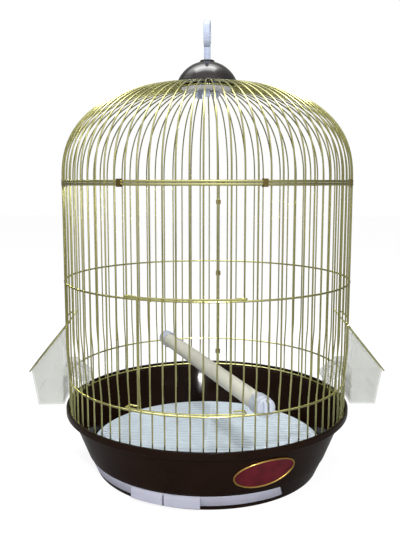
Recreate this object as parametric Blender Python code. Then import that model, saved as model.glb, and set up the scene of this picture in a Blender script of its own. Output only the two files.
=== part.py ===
"""Round wire bird cage on a dished plastic base, built piece by piece.

Metres, +Z up. The origin is on the ground under the middle of the base.
Azimuth 0 faces the front (-Y) and grows toward +X. A piece that is drawn in
its own frame has +X along growing azimuth and -Y outward, so turning it about
Z by its azimuth puts it in place.
"""
import math

import bmesh
import bpy
from mathutils import Matrix, Vector

MM = 0.001
UP = Vector((0, 0, 1))

# Clearances
GAP = 0.3 * MM
SLIP_GAP = 0.45 * MM
CUT_OVERRUN = 2.0 * MM
OVERLAP = 0.8 * MM

# Wires
WIRE = 1.7 * MM
RING_DEPTH = 2.4 * MM
JOINT_RING_DEPTH = 2.7 * MM
BAR_COUNT = 80
SIXTEENTHS = 16

# Wall of upright bars
WALL_RADIUS = 166.0 * MM
WALL_FOOT_INSET = 2.5 * MM
LOWER_RING_RISE = 39.8 * MM
TAPER_RISE = 39.2 * MM
MID_RING_RISE = 113.6 * MM
WALL_TOP_RISE = 110.1 * MM

# Dome
DOME_RISE = 111.0 * MM
DOME_FULLNESS = 2.45
DOME_STEPS = 5
HUB_RADIUS = 28.5 * MM
HUB_RING_OUTSET = 1.5 * MM

# Base tray
TRAY_FOOT_INSET = 9.3 * MM
TRAY_KNEE_INSET = 19.2 * MM
TRAY_KNEE_HEIGHT = 21.0 * MM
TRAY_WALL = 2.5 * MM
TRAY_FLOOR = 2.8 * MM
TRAY_FLARE_INSET = 6.35 * MM
RIM_WIDTH = 3.1 * MM
RIM_CLEARANCE = 0.8 * MM
RIM_DEPTH = 8.0 * MM
RIM_LIP = 5.2 * MM
LEDGE_HEIGHT = 71.0 * MM
SHELF_DROP = 0.5 * MM
SHELF_THICK = 1.5 * MM
SHELF_REACH = 5.5 * MM
LUG_COUNT = 6
LUG_WIDTH = 8.0 * MM
LUG_THICK = 2.2 * MM
LUG_RISE = 2.4 * MM
FIRST_LUG_AZIMUTH = 33.0

# Droppings drawer
DRAWER_AZIMUTH = -15.2
SLOT_HALF_SPAN = 57.1
SLOT_ROOF = 0.4 * MM
SLOT_SILL_RISE = 2.1 * MM
SLOT_BACK_SHARE = 0.33
DRAWER_SIDE_GAP = 1.2 * MM
DRAWER_TOP_GAP = 0.4 * MM
DRAWER_WALL = 1.8 * MM
DRAWER_BACK_GAP = 1.5 * MM
GUIDE_THICK = 2.0 * MM
GUIDE_RISE = 8.0 * MM
RUNNER_WIDTH = 3.0 * MM
RUNNER_RISE = 1.9 * MM
RUNNER_SPREAD_SHARE = 0.5
TAB_REACH = 6.2 * MM
TAB_SPAN = 15.8
TAB_SPLIT = 0.4
TAB_STEPS = 3
TAB_DROP = 0.3 * MM
TAB_FACE = 9.0 * MM
TAB_SETBACK = 1.3 * MM

# Floor grille
GRILLE_THICK = 2.8 * MM
GRILLE_EDGE_GAP = 1.2 * MM
GRILLE_HOOP = 4.0 * MM
SLAT_PITCH = 8.0 * MM
SLAT_WIDTH = 5.4 * MM
RIB_WIDTH = 3.0 * MM
SHORTEST_GRILLE_GAP = 10.0 * MM

# Badge on the tray wall
BADGE_AZIMUTH = 26.5
BADGE_WIDTH = 69.6 * MM
BADGE_DEPTH = 34.2 * MM
BADGE_MARGIN = 7.5 * MM
BADGE_LEAN_SHARE = 0.06
BADGE_THICK = 1.2 * MM
BADGE_STEPS = 14

# Guillotine door
DOOR_FIRST_BAR = -5
DOOR_LAST_BAR = 2
DOOR_STANDOFF = 2.35 * MM
DOOR_FOOT_GAP = 1.9 * MM

# Feeders and their flaps
FEEDER_BARS = {"right": (18, 22), "left": (-21, -17)}
FEEDER_SHEET = 1.6 * MM
FEEDER_SIDE_GAP = 2.0 * MM
FEEDER_OUTSET = 3.2 * MM
FEEDER_TOP_RISE = 7.9 * MM
FEEDER_DEPTH = 40.9 * MM
FEEDER_TOP_REACH = 39.7 * MM
FEEDER_FOOT_REACH = 32.8 * MM
FEEDER_LIP_REACH = 26.0 * MM
FEEDER_LIP_DROP = 16.7 * MM
FEEDER_SADDLE_WIDTH = 10.5 * MM
FEEDER_RIB_RISE = 4.0 * MM
FLAP_HINGE_RISE = 64.6 * MM
FEEDER_WINDOW_RISE = 3.6 * MM
FLAP_HINGE_BARS = 3
FLAP_NECK = 8.2 * MM
FLAP_OVERHANG = 0.15 * MM
FLAP_ROWS = 6
FLAP_COLUMNS = 5
EYE_RADIUS = 4.2 * MM
EYE_STEPS = 7
EYE_START = 60.0
EYE_TURN = 300.0

# Perch
PERCH_FIRST_BAR = 5
PERCH_DIAMETER = 18.4 * MM
PERCH_CLIP_DIAMETER = 21.5 * MM
PERCH_CLIP_LENGTH = 20.0 * MM
PERCH_CLIP_FLOOR = 4.0 * MM
PERCH_RISE = 4.2 * MM
FORK_TINE = 3.0 * MM
FORK_REACH = 4.5 * MM
FORK_RISE = 9.0 * MM

# Clips
CLIP_SHEET = 0.8 * MM
DOME_CLIP_COUNT = 7
FIRST_DOME_CLIP_AZIMUTH = 22.5
DOME_CLIP_WIDTH = 5.0 * MM
DOME_CLIP_SLOT = 1.0 * MM
SEAM_BAR = 39
SEAM_CLIP_DROPS = (19.2 * MM, 17.9 * MM, 25.5 * MM)
SEAM_CLIP_LENGTH = 6.0 * MM

# Cap, inner cup and hanging hook
CAP_OVERHANG = 6.5 * MM
CAP_RISE = 25.0 * MM
CAP_SHELL = 2.0 * MM
CAP_STEPS = 6
CAP_INNER_STEPS = 4
CROWN_RADIUS = 8.75 * MM
CROWN_RISE = 2.4 * MM
NOTCH_WIDTH = 5.2 * MM
NOTCH_DEPTH = 5.0 * MM
NOTCH_INSET = 2.6 * MM
CUP_DEPTH = 3.4 * MM
CUP_WALL = 1.6 * MM
CUP_TAPER = 4.0 * MM
STEM_DIAMETER = 6.6 * MM
HOOK_STEM = 13.9 * MM
HOOK_DIAMETER = 30.0 * MM
HOOK_WIDTH = 7.3 * MM
HOOK_THICK = 4.6 * MM
HOOK_START = -9.0
HOOK_END = 305.0
HOOK_STEPS = 20
FLANGE_RADIUS = 12.6 * MM
FLANGE_THICK = 2.2 * MM
FLANGE_DROP = 3.0 * MM
PRONG_COUNT = 3
PRONG_WIDTH = 8.0 * MM
PRONG_THICK = 2.2 * MM
PRONG_TIP = 7.5 * MM
BARB_REACH = 2.0 * MM
BARB_RISE = 4.5 * MM

# Roundness
TRAY_SIDES = 48
CAP_SIDES = 32
SMALL_SIDES = 20
ARC_STEPS = 14
SMOOTH_BELOW = 35.0
SLOPE_TURN = math.radians(0.5)

# Places worked out from the sizes above
HALF_WIRE = WIRE / 2
HALF_RING = RING_DEPTH / 2
HALF_JOINT_RING = JOINT_RING_DEPTH / 2
PITCH = 2 * math.pi / BAR_COUNT
BARS_PER_SIXTEENTH = BAR_COUNT // SIXTEENTHS
WALL_FOOT_RADIUS = WALL_RADIUS - WALL_FOOT_INSET
BASE_RING_HEIGHT = LEDGE_HEIGHT + GAP + HALF_RING
LOWER_RING_HEIGHT = LEDGE_HEIGHT + LOWER_RING_RISE
TAPER_TOP_HEIGHT = LOWER_RING_HEIGHT + TAPER_RISE
MID_RING_HEIGHT = LOWER_RING_HEIGHT + MID_RING_RISE
WALL_TOP_HEIGHT = MID_RING_HEIGHT + WALL_TOP_RISE
DOME_FOOT_HEIGHT = WALL_TOP_HEIGHT + JOINT_RING_DEPTH + GAP
RIM_INNER_RADIUS = WALL_FOOT_RADIUS + HALF_WIRE + RIM_CLEARANCE
RIM_OUTER_RADIUS = RIM_INNER_RADIUS + RIM_WIDTH
TRAY_TOP = LEDGE_HEIGHT + RIM_LIP
RIM_UNDERSIDE = TRAY_TOP - RIM_DEPTH
BADGE_HEIGHT = RIM_UNDERSIDE - BADGE_MARGIN - BADGE_DEPTH / 2
TRAY_FLARE_RADIUS = RIM_OUTER_RADIUS - TRAY_FLARE_INSET
TRAY_KNEE_RADIUS = TRAY_FLARE_RADIUS - TRAY_KNEE_INSET
TRAY_FOOT_RADIUS = TRAY_KNEE_RADIUS - TRAY_FOOT_INSET
SHELF_HEIGHT = TRAY_KNEE_HEIGHT - SHELF_DROP
SLOT_TOP = SHELF_HEIGHT - SHELF_THICK - SLOT_ROOF
SLOT_SILL = TRAY_FLOOR + SLOT_SILL_RISE
SLOT_HALF_WIDTH = TRAY_FOOT_RADIUS * math.sin(math.radians(SLOT_HALF_SPAN))
FEEDER_TOP_HEIGHT = LOWER_RING_HEIGHT + FEEDER_TOP_RISE
FEEDER_FOOT_HEIGHT = FEEDER_TOP_HEIGHT - FEEDER_DEPTH
FEEDER_TOP_RADIUS = WALL_RADIUS + FEEDER_TOP_REACH
FEEDER_FOOT_RADIUS = WALL_RADIUS + FEEDER_FOOT_REACH
FEEDER_LIP_RADIUS = WALL_RADIUS - FEEDER_LIP_REACH
FEEDER_LIP_HEIGHT = FEEDER_TOP_HEIGHT - FEEDER_LIP_DROP
FLAP_HINGE_HEIGHT = LOWER_RING_HEIGHT + FLAP_HINGE_RISE
FEEDER_WINDOW_HEIGHT = FLAP_HINGE_HEIGHT + FEEDER_WINDOW_RISE
CAP_RADIUS = HUB_RADIUS + CAP_OVERHANG
HUB_RING_RADIUS = HUB_RADIUS + HUB_RING_OUTSET
CUP_RADIUS = HUB_RING_RADIUS


def bar_azimuth(index):
    """Azimuth of a bar; bar 0 stands half a pitch to the right of the front."""
    return (index + 0.5) * PITCH


def middle_azimuth(bars):
    return (bar_azimuth(bars[0]) + bar_azimuth(bars[1])) / 2


FEEDER_AZIMUTHS = {side: middle_azimuth(bars) for side, bars in FEEDER_BARS.items()}


def outward(azimuth):
    return Vector((math.sin(azimuth), -math.cos(azimuth), 0))


def sideways(azimuth):
    return Vector((math.cos(azimuth), math.sin(azimuth), 0))


def polar_point(radius, azimuth, height):
    return outward(azimuth) * radius + UP * height


def blend(start, end, share):
    return start + (end - start) * share


def wall_radius(height):
    """Radius of the bars' middle line, which draws in toward the base."""
    share = (height - LOWER_RING_HEIGHT) / (TAPER_TOP_HEIGHT - LOWER_RING_HEIGHT)
    return blend(WALL_FOOT_RADIUS, WALL_RADIUS, min(max(share, 0), 1))


def tray_radius(height):
    """Outer radius of the tray's wall below its rim."""
    if height < TRAY_KNEE_HEIGHT:
        return blend(TRAY_FOOT_RADIUS, TRAY_KNEE_RADIUS, height / TRAY_KNEE_HEIGHT)
    share = (height - TRAY_KNEE_HEIGHT) / (RIM_UNDERSIDE - TRAY_KNEE_HEIGHT)
    return blend(TRAY_KNEE_RADIUS, TRAY_FLARE_RADIUS, share)


def dome_point(turn):
    """Radius and height of the dome at a turn from its foot."""
    power = 2 / DOME_FULLNESS
    radius = WALL_RADIUS * math.cos(turn) ** power
    height = DOME_FOOT_HEIGHT + DOME_RISE * math.sin(turn) ** power
    return radius, height


def dome_turn(radius):
    """The turn at which the dome has come in to a radius."""
    return math.acos((radius / WALL_RADIUS) ** (DOME_FULLNESS / 2))


def dome_height(radius):
    return dome_point(dome_turn(radius))[1]


# Scene, materials and objects

def clear_scene():
    for thing in list(bpy.data.objects):
        bpy.data.objects.remove(thing)


def make_material(name, colour, roughness, metallic=0.0, alpha=1.0):
    material = bpy.data.materials.new(name)
    material.use_nodes = True
    shader = material.node_tree.nodes["Principled BSDF"]
    shader.inputs["Base Color"].default_value = (*colour, 1.0)
    shader.inputs["Roughness"].default_value = roughness
    shader.inputs["Metallic"].default_value = metallic
    shader.inputs["Alpha"].default_value = alpha
    material.diffuse_color = (*colour, 1.0)
    return material


def mesh_from(shape, name):
    """Turns a bmesh into a mesh whose faces point outward."""
    bmesh.ops.recalc_face_normals(shape, faces=shape.faces)
    mesh = bpy.data.meshes.new(name)
    shape.to_mesh(mesh)
    shape.free()
    return mesh


def place(name, mesh, material, parent=None, location=(0, 0, 0), azimuth=0.0):
    """Puts a mesh into the scene as a named piece."""
    piece = bpy.data.objects.new(name, mesh)
    bpy.context.collection.objects.link(piece)
    if not mesh.materials:
        mesh.materials.append(material)
    piece.location = location
    piece.rotation_euler = (0, 0, azimuth)
    if parent:
        piece.parent = parent
    return piece


def make_pivot(name, location=(0, 0, 0), parent=None, azimuth=0.0):
    """An empty that carries the pieces which move together."""
    pivot = bpy.data.objects.new(name, None)
    bpy.context.collection.objects.link(pivot)
    pivot.location = location
    pivot.rotation_euler = (0, 0, azimuth)
    if parent:
        pivot.parent = parent
    return pivot


def smooth(piece):
    piece.data.shade_smooth()
    piece.data.set_sharp_from_angle(angle=math.radians(SMOOTH_BELOW))


def combine(piece, shape, operation):
    """Cuts a shape out of a piece, or joins it on, with a Boolean."""
    mesh = mesh_from(shape, piece.name + "_tool")
    tool = bpy.data.objects.new(piece.name + "_" + operation.lower(), mesh)
    bpy.context.collection.objects.link(tool)
    tool.parent = piece
    tool.hide_render = True
    tool.display_type = "WIRE"
    modifier = piece.modifiers.new(operation.title(), "BOOLEAN")
    modifier.operation = operation
    modifier.solver = "EXACT"
    modifier.object = tool


# Closed shapes

def add_prism(shape, outline, travel):
    """Adds a prism: a flat outline and its copy moved by travel."""
    near = [shape.verts.new(point) for point in outline]
    far = [shape.verts.new(point + travel) for point in outline]
    shape.faces.new(near)
    shape.faces.new(far)
    for index, corner in enumerate(near):
        after = (index + 1) % len(near)
        shape.faces.new((corner, near[after], far[after], far[index]))


def add_box(shape, low, high):
    """Adds an upright box between two opposite corners."""
    outline = [
        Vector((low.x, low.y, low.z)),
        Vector((high.x, low.y, low.z)),
        Vector((high.x, high.y, low.z)),
        Vector((low.x, high.y, low.z)),
    ]
    add_prism(shape, outline, UP * (high.z - low.z))


def add_turned(shape, profile, sides, frame=Matrix.Identity(4)):
    """Adds a body turned about Z from a closed profile of radius and height."""
    rows = []
    for radius, height in profile:
        if radius == 0:
            rows.append([shape.verts.new(frame @ Vector((0, 0, height)))])
            continue
        row = []
        for side in range(sides):
            angle = 2 * math.pi * side / sides
            place_on_row = Vector((radius * math.cos(angle), radius * math.sin(angle), height))
            row.append(shape.verts.new(frame @ place_on_row))
        rows.append(row)
    for index, row in enumerate(rows):
        other = rows[(index + 1) % len(rows)]
        if len(row) == 1 and len(other) == 1:
            continue
        for side in range(sides):
            after = (side + 1) % sides
            if len(row) == 1:
                shape.faces.new((row[0], other[after], other[side]))
            elif len(other) == 1:
                shape.faces.new((row[side], row[after], other[0]))
            else:
                shape.faces.new((row[side], row[after], other[after], other[side]))


class WireNet:
    """Square wires, fused where they cross, drawn as one closed surface."""

    def __init__(self):
        self.shape = bmesh.new()
        self.open_ends = {}

    def leave_open(self, corners):
        self.open_ends[tuple(corners)] = True
        return corners

    def section(self, centre, half_side, half_rise):
        """Four corners of a wire cut across, half_side and half_rise from its middle."""
        signs = ((-1, -1), (1, -1), (1, 1), (-1, 1))
        return [self.shape.verts.new(centre + half_side * a + half_rise * b) for a, b in signs]

    def knot(self, centre, half_across, half_along, half_out):
        """A crossing of two wires; its four sides stay open for the wires."""
        corner = {}
        for a in (-1, 1):
            for b in (-1, 1):
                for c in (-1, 1):
                    spot = centre + half_across * a + half_along * b + half_out * c
                    corner[a, b, c] = self.shape.verts.new(spot)
        for c in (-1, 1):
            self.shape.faces.new([corner[a, b, c] for a, b in ((-1, -1), (1, -1), (1, 1), (-1, 1))])
        around = ((-1, -1), (1, -1), (1, 1), (-1, 1))
        return {
            "left": self.leave_open([corner[-1, b, c] for b, c in around]),
            "right": self.leave_open([corner[1, b, c] for b, c in around]),
            "below": self.leave_open([corner[a, -1, c] for a, c in around]),
            "above": self.leave_open([corner[a, 1, c] for a, c in around]),
        }

    def join(self, first, second):
        """Draws the four sides of a wire between two sets of corners."""
        self.open_ends.pop(tuple(first), None)
        self.open_ends.pop(tuple(second), None)
        orders = []
        for shift in range(4):
            turned = second[shift:] + second[:shift]
            orders.append(turned)
            orders.append(turned[::-1])
        best = min(orders, key=lambda order: sum((a.co - b.co).length for a, b in zip(first, order)))
        for index in range(4):
            after = (index + 1) % 4
            self.shape.faces.new((first[index], first[after], best[after], best[index]))

    def draw_on(self, start, origin, points, plane_normal, half_side, half_rise):
        """Leads a wire on from an open side, round mitred bends in one plane."""
        places = [origin, *points]
        last = start
        for index in range(1, len(places)):
            before = (places[index] - places[index - 1]).normalized()
            after = before
            if index + 1 < len(places):
                after = (places[index + 1] - places[index]).normalized()
            side = plane_normal.cross(before + after).normalized()
            mitre = 1 / side.dot(plane_normal.cross(before))
            corners = self.section(places[index], side * (half_side * mitre), plane_normal * half_rise)
            self.join(last, corners)
            last = corners
        self.leave_open(last)

    def finish(self, name):
        for corners in self.open_ends:
            self.shape.faces.new(corners)
        return mesh_from(self.shape, name)


# Base body

def build_tray(material):
    inner = TRAY_WALL
    profile = [
        (0, 0),
        (TRAY_FOOT_RADIUS, 0),
        (TRAY_KNEE_RADIUS, TRAY_KNEE_HEIGHT),
        (TRAY_FLARE_RADIUS, RIM_UNDERSIDE),
        (RIM_OUTER_RADIUS, RIM_UNDERSIDE),
        (RIM_OUTER_RADIUS, TRAY_TOP),
        (RIM_INNER_RADIUS, TRAY_TOP),
        (RIM_INNER_RADIUS, LEDGE_HEIGHT),
        (TRAY_FLARE_RADIUS - inner, LEDGE_HEIGHT),
        (tray_radius(TRAY_KNEE_HEIGHT) - inner, TRAY_KNEE_HEIGHT),
        (tray_radius(SHELF_HEIGHT) - inner, SHELF_HEIGHT),
        (tray_radius(SHELF_HEIGHT) - inner - SHELF_REACH, SHELF_HEIGHT),
        (tray_radius(SHELF_HEIGHT) - inner - SHELF_REACH, SHELF_HEIGHT - SHELF_THICK),
        (tray_radius(SHELF_HEIGHT - SHELF_THICK) - inner, SHELF_HEIGHT - SHELF_THICK),
        (tray_radius(TRAY_FLOOR) - inner, TRAY_FLOOR),
        (0, TRAY_FLOOR),
    ]
    shape = bmesh.new()
    add_turned(shape, profile, TRAY_SIDES)
    tray = place("base_tray", mesh_from(shape, "base_tray"), material)
    combine(tray, tray_additions(), "UNION")
    combine(tray, drawer_slot(), "DIFFERENCE")
    smooth(tray)
    return tray


def tray_additions():
    """Locating lugs inside the wire foot, rails beside the drawer and runners under it."""
    shape = bmesh.new()
    lug_outer = WALL_FOOT_RADIUS - HALF_WIRE - SLIP_GAP
    for index in range(LUG_COUNT):
        lug = bmesh.new()
        low = Vector((-LUG_WIDTH / 2, -lug_outer, LEDGE_HEIGHT - OVERLAP))
        high = Vector((LUG_WIDTH / 2, LUG_THICK - lug_outer, LEDGE_HEIGHT + LUG_RISE))
        add_box(lug, low, high)
        azimuth = math.radians(FIRST_LUG_AZIMUTH) + 2 * math.pi * index / LUG_COUNT
        append_turned_copy(shape, lug, azimuth)
    rail_inner = SLOT_HALF_WIDTH
    rail_outer = rail_inner + GUIDE_THICK
    rail_reach = math.sqrt((TRAY_FOOT_RADIUS - TRAY_WALL) ** 2 - rail_outer ** 2) - TRAY_WALL
    for side in (-1, 1):
        rail = bmesh.new()
        low = Vector((min(side * rail_inner, side * rail_outer), -rail_reach, TRAY_FLOOR - OVERLAP))
        high = Vector((max(side * rail_inner, side * rail_outer), rail_reach, TRAY_FLOOR + GUIDE_RISE))
        add_box(rail, low, high)
        append_turned_copy(shape, rail, math.radians(DRAWER_AZIMUTH))
        runner = bmesh.new()
        middle = side * SLOT_HALF_WIDTH * RUNNER_SPREAD_SHARE
        low = Vector((middle - RUNNER_WIDTH / 2, -rail_reach, TRAY_FLOOR - OVERLAP))
        high = Vector((middle + RUNNER_WIDTH / 2, rail_reach, TRAY_FLOOR + RUNNER_RISE))
        add_box(runner, low, high)
        append_turned_copy(shape, runner, math.radians(DRAWER_AZIMUTH))
    return shape


def append_turned_copy(shape, extra, azimuth):
    """Moves the faces of one shape into another, turned about Z."""
    bmesh.ops.rotate(extra, cent=(0, 0, 0), matrix=Matrix.Rotation(azimuth, 3, "Z"), verts=extra.verts)
    spare = bpy.data.meshes.new("spare")
    extra.to_mesh(spare)
    extra.free()
    shape.from_mesh(spare)
    bpy.data.meshes.remove(spare)


def drawer_slot():
    slot = bmesh.new()
    low = Vector((-SLOT_HALF_WIDTH, -RIM_OUTER_RADIUS, SLOT_SILL))
    high = Vector((SLOT_HALF_WIDTH, -TRAY_FOOT_RADIUS * SLOT_BACK_SHARE, SLOT_TOP))
    add_box(slot, low, high)
    shape = bmesh.new()
    append_turned_copy(shape, slot, math.radians(DRAWER_AZIMUTH))
    return shape


def build_grille(material):
    """A slatted floor that lies on the tray's shelf."""
    radius = tray_radius(SHELF_HEIGHT) - TRAY_WALL - GRILLE_EDGE_GAP
    low = SHELF_HEIGHT + GAP
    turns = [2 * math.pi * side / TRAY_SIDES for side in range(TRAY_SIDES)]
    shape = bmesh.new()
    add_prism(shape, [polar_point(radius, turn, low) for turn in turns], UP * GRILLE_THICK)
    grille = place("floor_grille", mesh_from(shape, "floor_grille"), material)
    combine(grille, grille_gaps(radius - GRILLE_HOOP, low), "DIFFERENCE")
    return grille


def grille_gaps(radius, low):
    """Rows of slots along X, parted by a rib down the middle."""
    shape = bmesh.new()
    half_gap = (SLAT_PITCH - SLAT_WIDTH) / 2
    rows = int(radius / SLAT_PITCH)
    for row in range(-rows, rows + 1):
        middle = row * SLAT_PITCH
        far_edge = abs(middle) + half_gap
        if far_edge > radius:
            continue
        reach = math.sqrt(radius ** 2 - far_edge ** 2)
        for start, end in ((-reach, -RIB_WIDTH / 2), (RIB_WIDTH / 2, reach)):
            if end - start < SHORTEST_GRILLE_GAP:
                continue
            near = Vector((start, middle - half_gap, low - CUT_OVERRUN))
            far = Vector((end, middle + half_gap, low + GRILLE_THICK + CUT_OVERRUN))
            add_box(shape, near, far)
    return shape


def build_badge(material):
    """A plain oval plate bent round the tray's sloping wall."""
    azimuth = math.radians(BADGE_AZIMUTH)
    rows = []
    for step in range(BADGE_STEPS + 1):
        turn = math.pi * step / BADGE_STEPS
        side = -math.cos(turn) * BADGE_WIDTH / 2
        reach = math.sin(turn) * BADGE_DEPTH / 2
        rows.append((side, reach if 0 < step < BADGE_STEPS else 0))
    shape = bmesh.new()

    def spot(side, height, lift):
        radius = tray_radius(height) + GAP + lift
        return shape.verts.new(polar_point(radius, azimuth + side / tray_radius(BADGE_HEIGHT), height))

    columns = []
    for side, reach in rows:
        middle = BADGE_HEIGHT + side * BADGE_LEAN_SHARE
        heights = (middle - reach, middle + reach) if reach else (middle,)
        columns.append([[spot(side, height, lift) for height in heights] for lift in (0, BADGE_THICK)])
    for near, far in zip(columns, columns[1:]):
        for lift in (0, 1):
            shape.faces.new([near[lift][0], *far[lift], *near[lift][:0:-1]])
        for edge in (0, -1):
            shape.faces.new((near[0][edge], far[0][edge], far[1][edge], near[1][edge]))
    return place("oval_badge", mesh_from(shape, "oval_badge"), material)


# Drawer body

def arc_outline(half_width, front, back, height):
    """Outline of the drawer: round at the front and back, straight at the sides."""
    points = []
    for radius, facing in ((front, 0), (back, math.pi)):
        sweep = math.asin(half_width / radius)
        for step in range(ARC_STEPS + 1):
            azimuth = facing - sweep + 2 * sweep * step / ARC_STEPS
            points.append(polar_point(radius, azimuth, height))
    return points


def build_drawer(material, pivot):
    half_width = SLOT_HALF_WIDTH - DRAWER_SIDE_GAP
    back = TRAY_FOOT_RADIUS - TRAY_WALL - DRAWER_BACK_GAP
    low = SLOT_SILL + GAP
    high = SLOT_TOP - DRAWER_TOP_GAP
    inside = half_width - DRAWER_WALL
    floor = low + DRAWER_WALL
    loops = [
        arc_outline(half_width, tray_radius(low), back, low),
        arc_outline(half_width, tray_radius(high), back, high),
        arc_outline(inside, tray_radius(high) - DRAWER_WALL, back - DRAWER_WALL, high),
        arc_outline(inside, tray_radius(floor) - DRAWER_WALL, back - DRAWER_WALL, floor),
    ]
    shape = bmesh.new()
    rings = [[shape.verts.new(point) for point in loop] for loop in loops]
    for ring, above in zip(rings, rings[1:]):
        for index, corner in enumerate(ring):
            after = (index + 1) % len(ring)
            shape.faces.new((corner, ring[after], above[after], above[index]))
    shape.faces.new(rings[0])
    shape.faces.new(rings[-1])
    drawer = place("droppings_drawer", mesh_from(shape, "droppings_drawer"), material, pivot)
    combine(drawer, drawer_tabs(low, high), "UNION")
    return drawer


def drawer_tabs(low, high):
    """Two finger tabs side by side in the middle of the drawer's front."""
    shape = bmesh.new()
    front = tray_radius(low)
    root = front - OVERLAP
    step = front + TAB_SETBACK
    tip = front + TAB_REACH
    foot = low + GAP
    section = [
        (root, foot),
        (step, foot),
        (step, low - TAB_DROP),
        (tip, low - TAB_DROP),
        (tip, low - TAB_DROP + TAB_FACE),
        (tray_radius(high) - OVERLAP, high - GAP),
        (root, high - GAP),
    ]
    for side in (-1, 1):
        start = math.radians(TAB_SPLIT) if side > 0 else -math.radians(TAB_SPAN)
        end = math.radians(TAB_SPAN) if side > 0 else -math.radians(TAB_SPLIT)
        rows = []
        for index in range(TAB_STEPS + 1):
            azimuth = blend(start, end, index / TAB_STEPS)
            corners = [polar_point(radius, azimuth, height) for radius, height in section]
            rows.append([shape.verts.new(corner) for corner in corners])
        for near, far in zip(rows, rows[1:]):
            for index, corner in enumerate(near):
                after = (index + 1) % len(near)
                shape.faces.new((corner, near[after], far[after], far[index]))
        shape.faces.new(rows[0])
        shape.faces.new(rows[-1])
    return shape


# Wire wall

def ring_half_depth(height):
    if height == WALL_TOP_HEIGHT:
        return HALF_JOINT_RING
    return HALF_WIRE if height == FEEDER_WINDOW_HEIGHT else HALF_RING


def build_wall_net(name, columns, rings, open_sides=("left", "right"), window_side=None):
    """One welded piece of the wall: upright bars on the level rings that hold them.

    Rings run on half a pitch past the outer bars on the open sides, to meet the
    next piece. The window side's outer bar also carries the feeder window's wire.
    """
    net = WireNet()
    outer_column = {"left": 0, "right": len(columns) - 1}
    knots = []
    for place_in_row, azimuth in enumerate(columns):
        across = sideways(azimuth) * HALF_WIRE
        out = outward(azimuth) * HALF_WIRE
        stops = list(rings)
        if window_side and place_in_row == outer_column[window_side]:
            stops.append(FEEDER_WINDOW_HEIGHT)
        if rings[0] < TAPER_TOP_HEIGHT < rings[-1]:
            stops.append(TAPER_TOP_HEIGHT)
        column = {}
        last_end = None
        for height in sorted(stops):
            centre = polar_point(wall_radius(height), azimuth, height)
            if height == TAPER_TOP_HEIGHT:
                corners = net.section(centre, across, out)
                net.join(last_end, corners)
                last_end = corners
                continue
            knot = net.knot(centre, across, UP * ring_half_depth(height), out)
            if last_end:
                net.join(last_end, knot["below"])
            last_end = knot["above"]
            column[height] = knot
        knots.append(column)
    for left, right in zip(knots, knots[1:]):
        for height in rings:
            net.join(left[height]["right"], right[height]["left"])
    for side in open_sides:
        outer = outer_column[side]
        sign = 1 if side == "right" else -1
        for height in knots[outer]:
            if height not in rings and side != window_side:
                continue
            radius = wall_radius(height)
            azimuth = columns[outer] + sign * (PITCH / 2 - GAP / 2 / radius)
            centre = polar_point(radius, azimuth, height)
            end = net.section(centre, UP * ring_half_depth(height), outward(azimuth) * HALF_WIRE)
            net.join(knots[outer][height][side], end)
            net.leave_open(end)
    return net.finish(name)


def bar_azimuths(first, last):
    return [bar_azimuth(index) for index in range(first, last + 1)]


def build_wall(material, pivot):
    """The wall in pieces: full-height runs, and what is over and under each opening."""
    full = (BASE_RING_HEIGHT, LOWER_RING_HEIGHT, MID_RING_HEIGHT, WALL_TOP_HEIGHT)
    under = full[:2]
    seam_shift = (HALF_WIRE + GAP) / WALL_FOOT_RADIUS
    seam = bar_azimuth(SEAM_BAR)
    right_first, right_last = FEEDER_BARS["right"]
    left_first, left_last = FEEDER_BARS["left"]
    front_right_last = (DOOR_LAST_BAR + right_first) // 2
    back_right_first = (right_last + SEAM_BAR) // 2
    back_left_last = (SEAM_BAR + left_first + BAR_COUNT) // 2
    front_left_first = (left_last + DOOR_FIRST_BAR) // 2
    both = ("left", "right")
    runs = {
        "front_right": (bar_azimuths(DOOR_LAST_BAR, front_right_last), both, None),
        "right_front": (bar_azimuths(front_right_last + 1, right_first), both, "right"),
        "right_back": (bar_azimuths(right_last, back_right_first - 1), both, "left"),
        "back_right": (
            bar_azimuths(back_right_first, SEAM_BAR - 1) + [seam - seam_shift], both[:1], None,
        ),
        "back_left": (
            [seam + seam_shift] + bar_azimuths(SEAM_BAR + 1, back_left_last), both[1:], None,
        ),
        "left_back": (
            bar_azimuths(back_left_last + 1 - BAR_COUNT, left_first), both, "right",
        ),
        "left_front": (bar_azimuths(left_last, front_left_first - 1), both, "left"),
        "front_left": (bar_azimuths(front_left_first, DOOR_FIRST_BAR), both, None),
    }
    for side, (columns, open_sides, window_side) in runs.items():
        name = "wall_" + side
        mesh = build_wall_net(name, columns, full, open_sides, window_side)
        place(name, mesh, material, pivot)
    openings = {
        "door": (DOOR_FIRST_BAR, DOOR_LAST_BAR, full[2:]),
        "right_feeder": (right_first, right_last, (FEEDER_WINDOW_HEIGHT, *full[2:])),
        "left_feeder": (left_first, left_last, (FEEDER_WINDOW_HEIGHT, *full[2:])),
    }
    for opening, (first, last, over) in openings.items():
        columns = bar_azimuths(first + 1, last - 1)
        for where, rings in (("over", over), ("under", under)):
            name = "wall_" + where + "_" + opening
            place(name, build_wall_net(name, columns, rings), material, pivot)


# The dome's pieces from the front toward the right, with their widths in sixteenths
DOME_SECTORS = (
    ("front", 2),
    ("front_right", 1),
    ("right_front", 1),
    ("right", 2),
    ("right_back", 1),
    ("back_right", 1),
    ("back", 2),
    ("back_left", 1),
    ("left_back", 1),
    ("left", 2),
    ("left_front", 1),
    ("front_left", 1),
)


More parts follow.
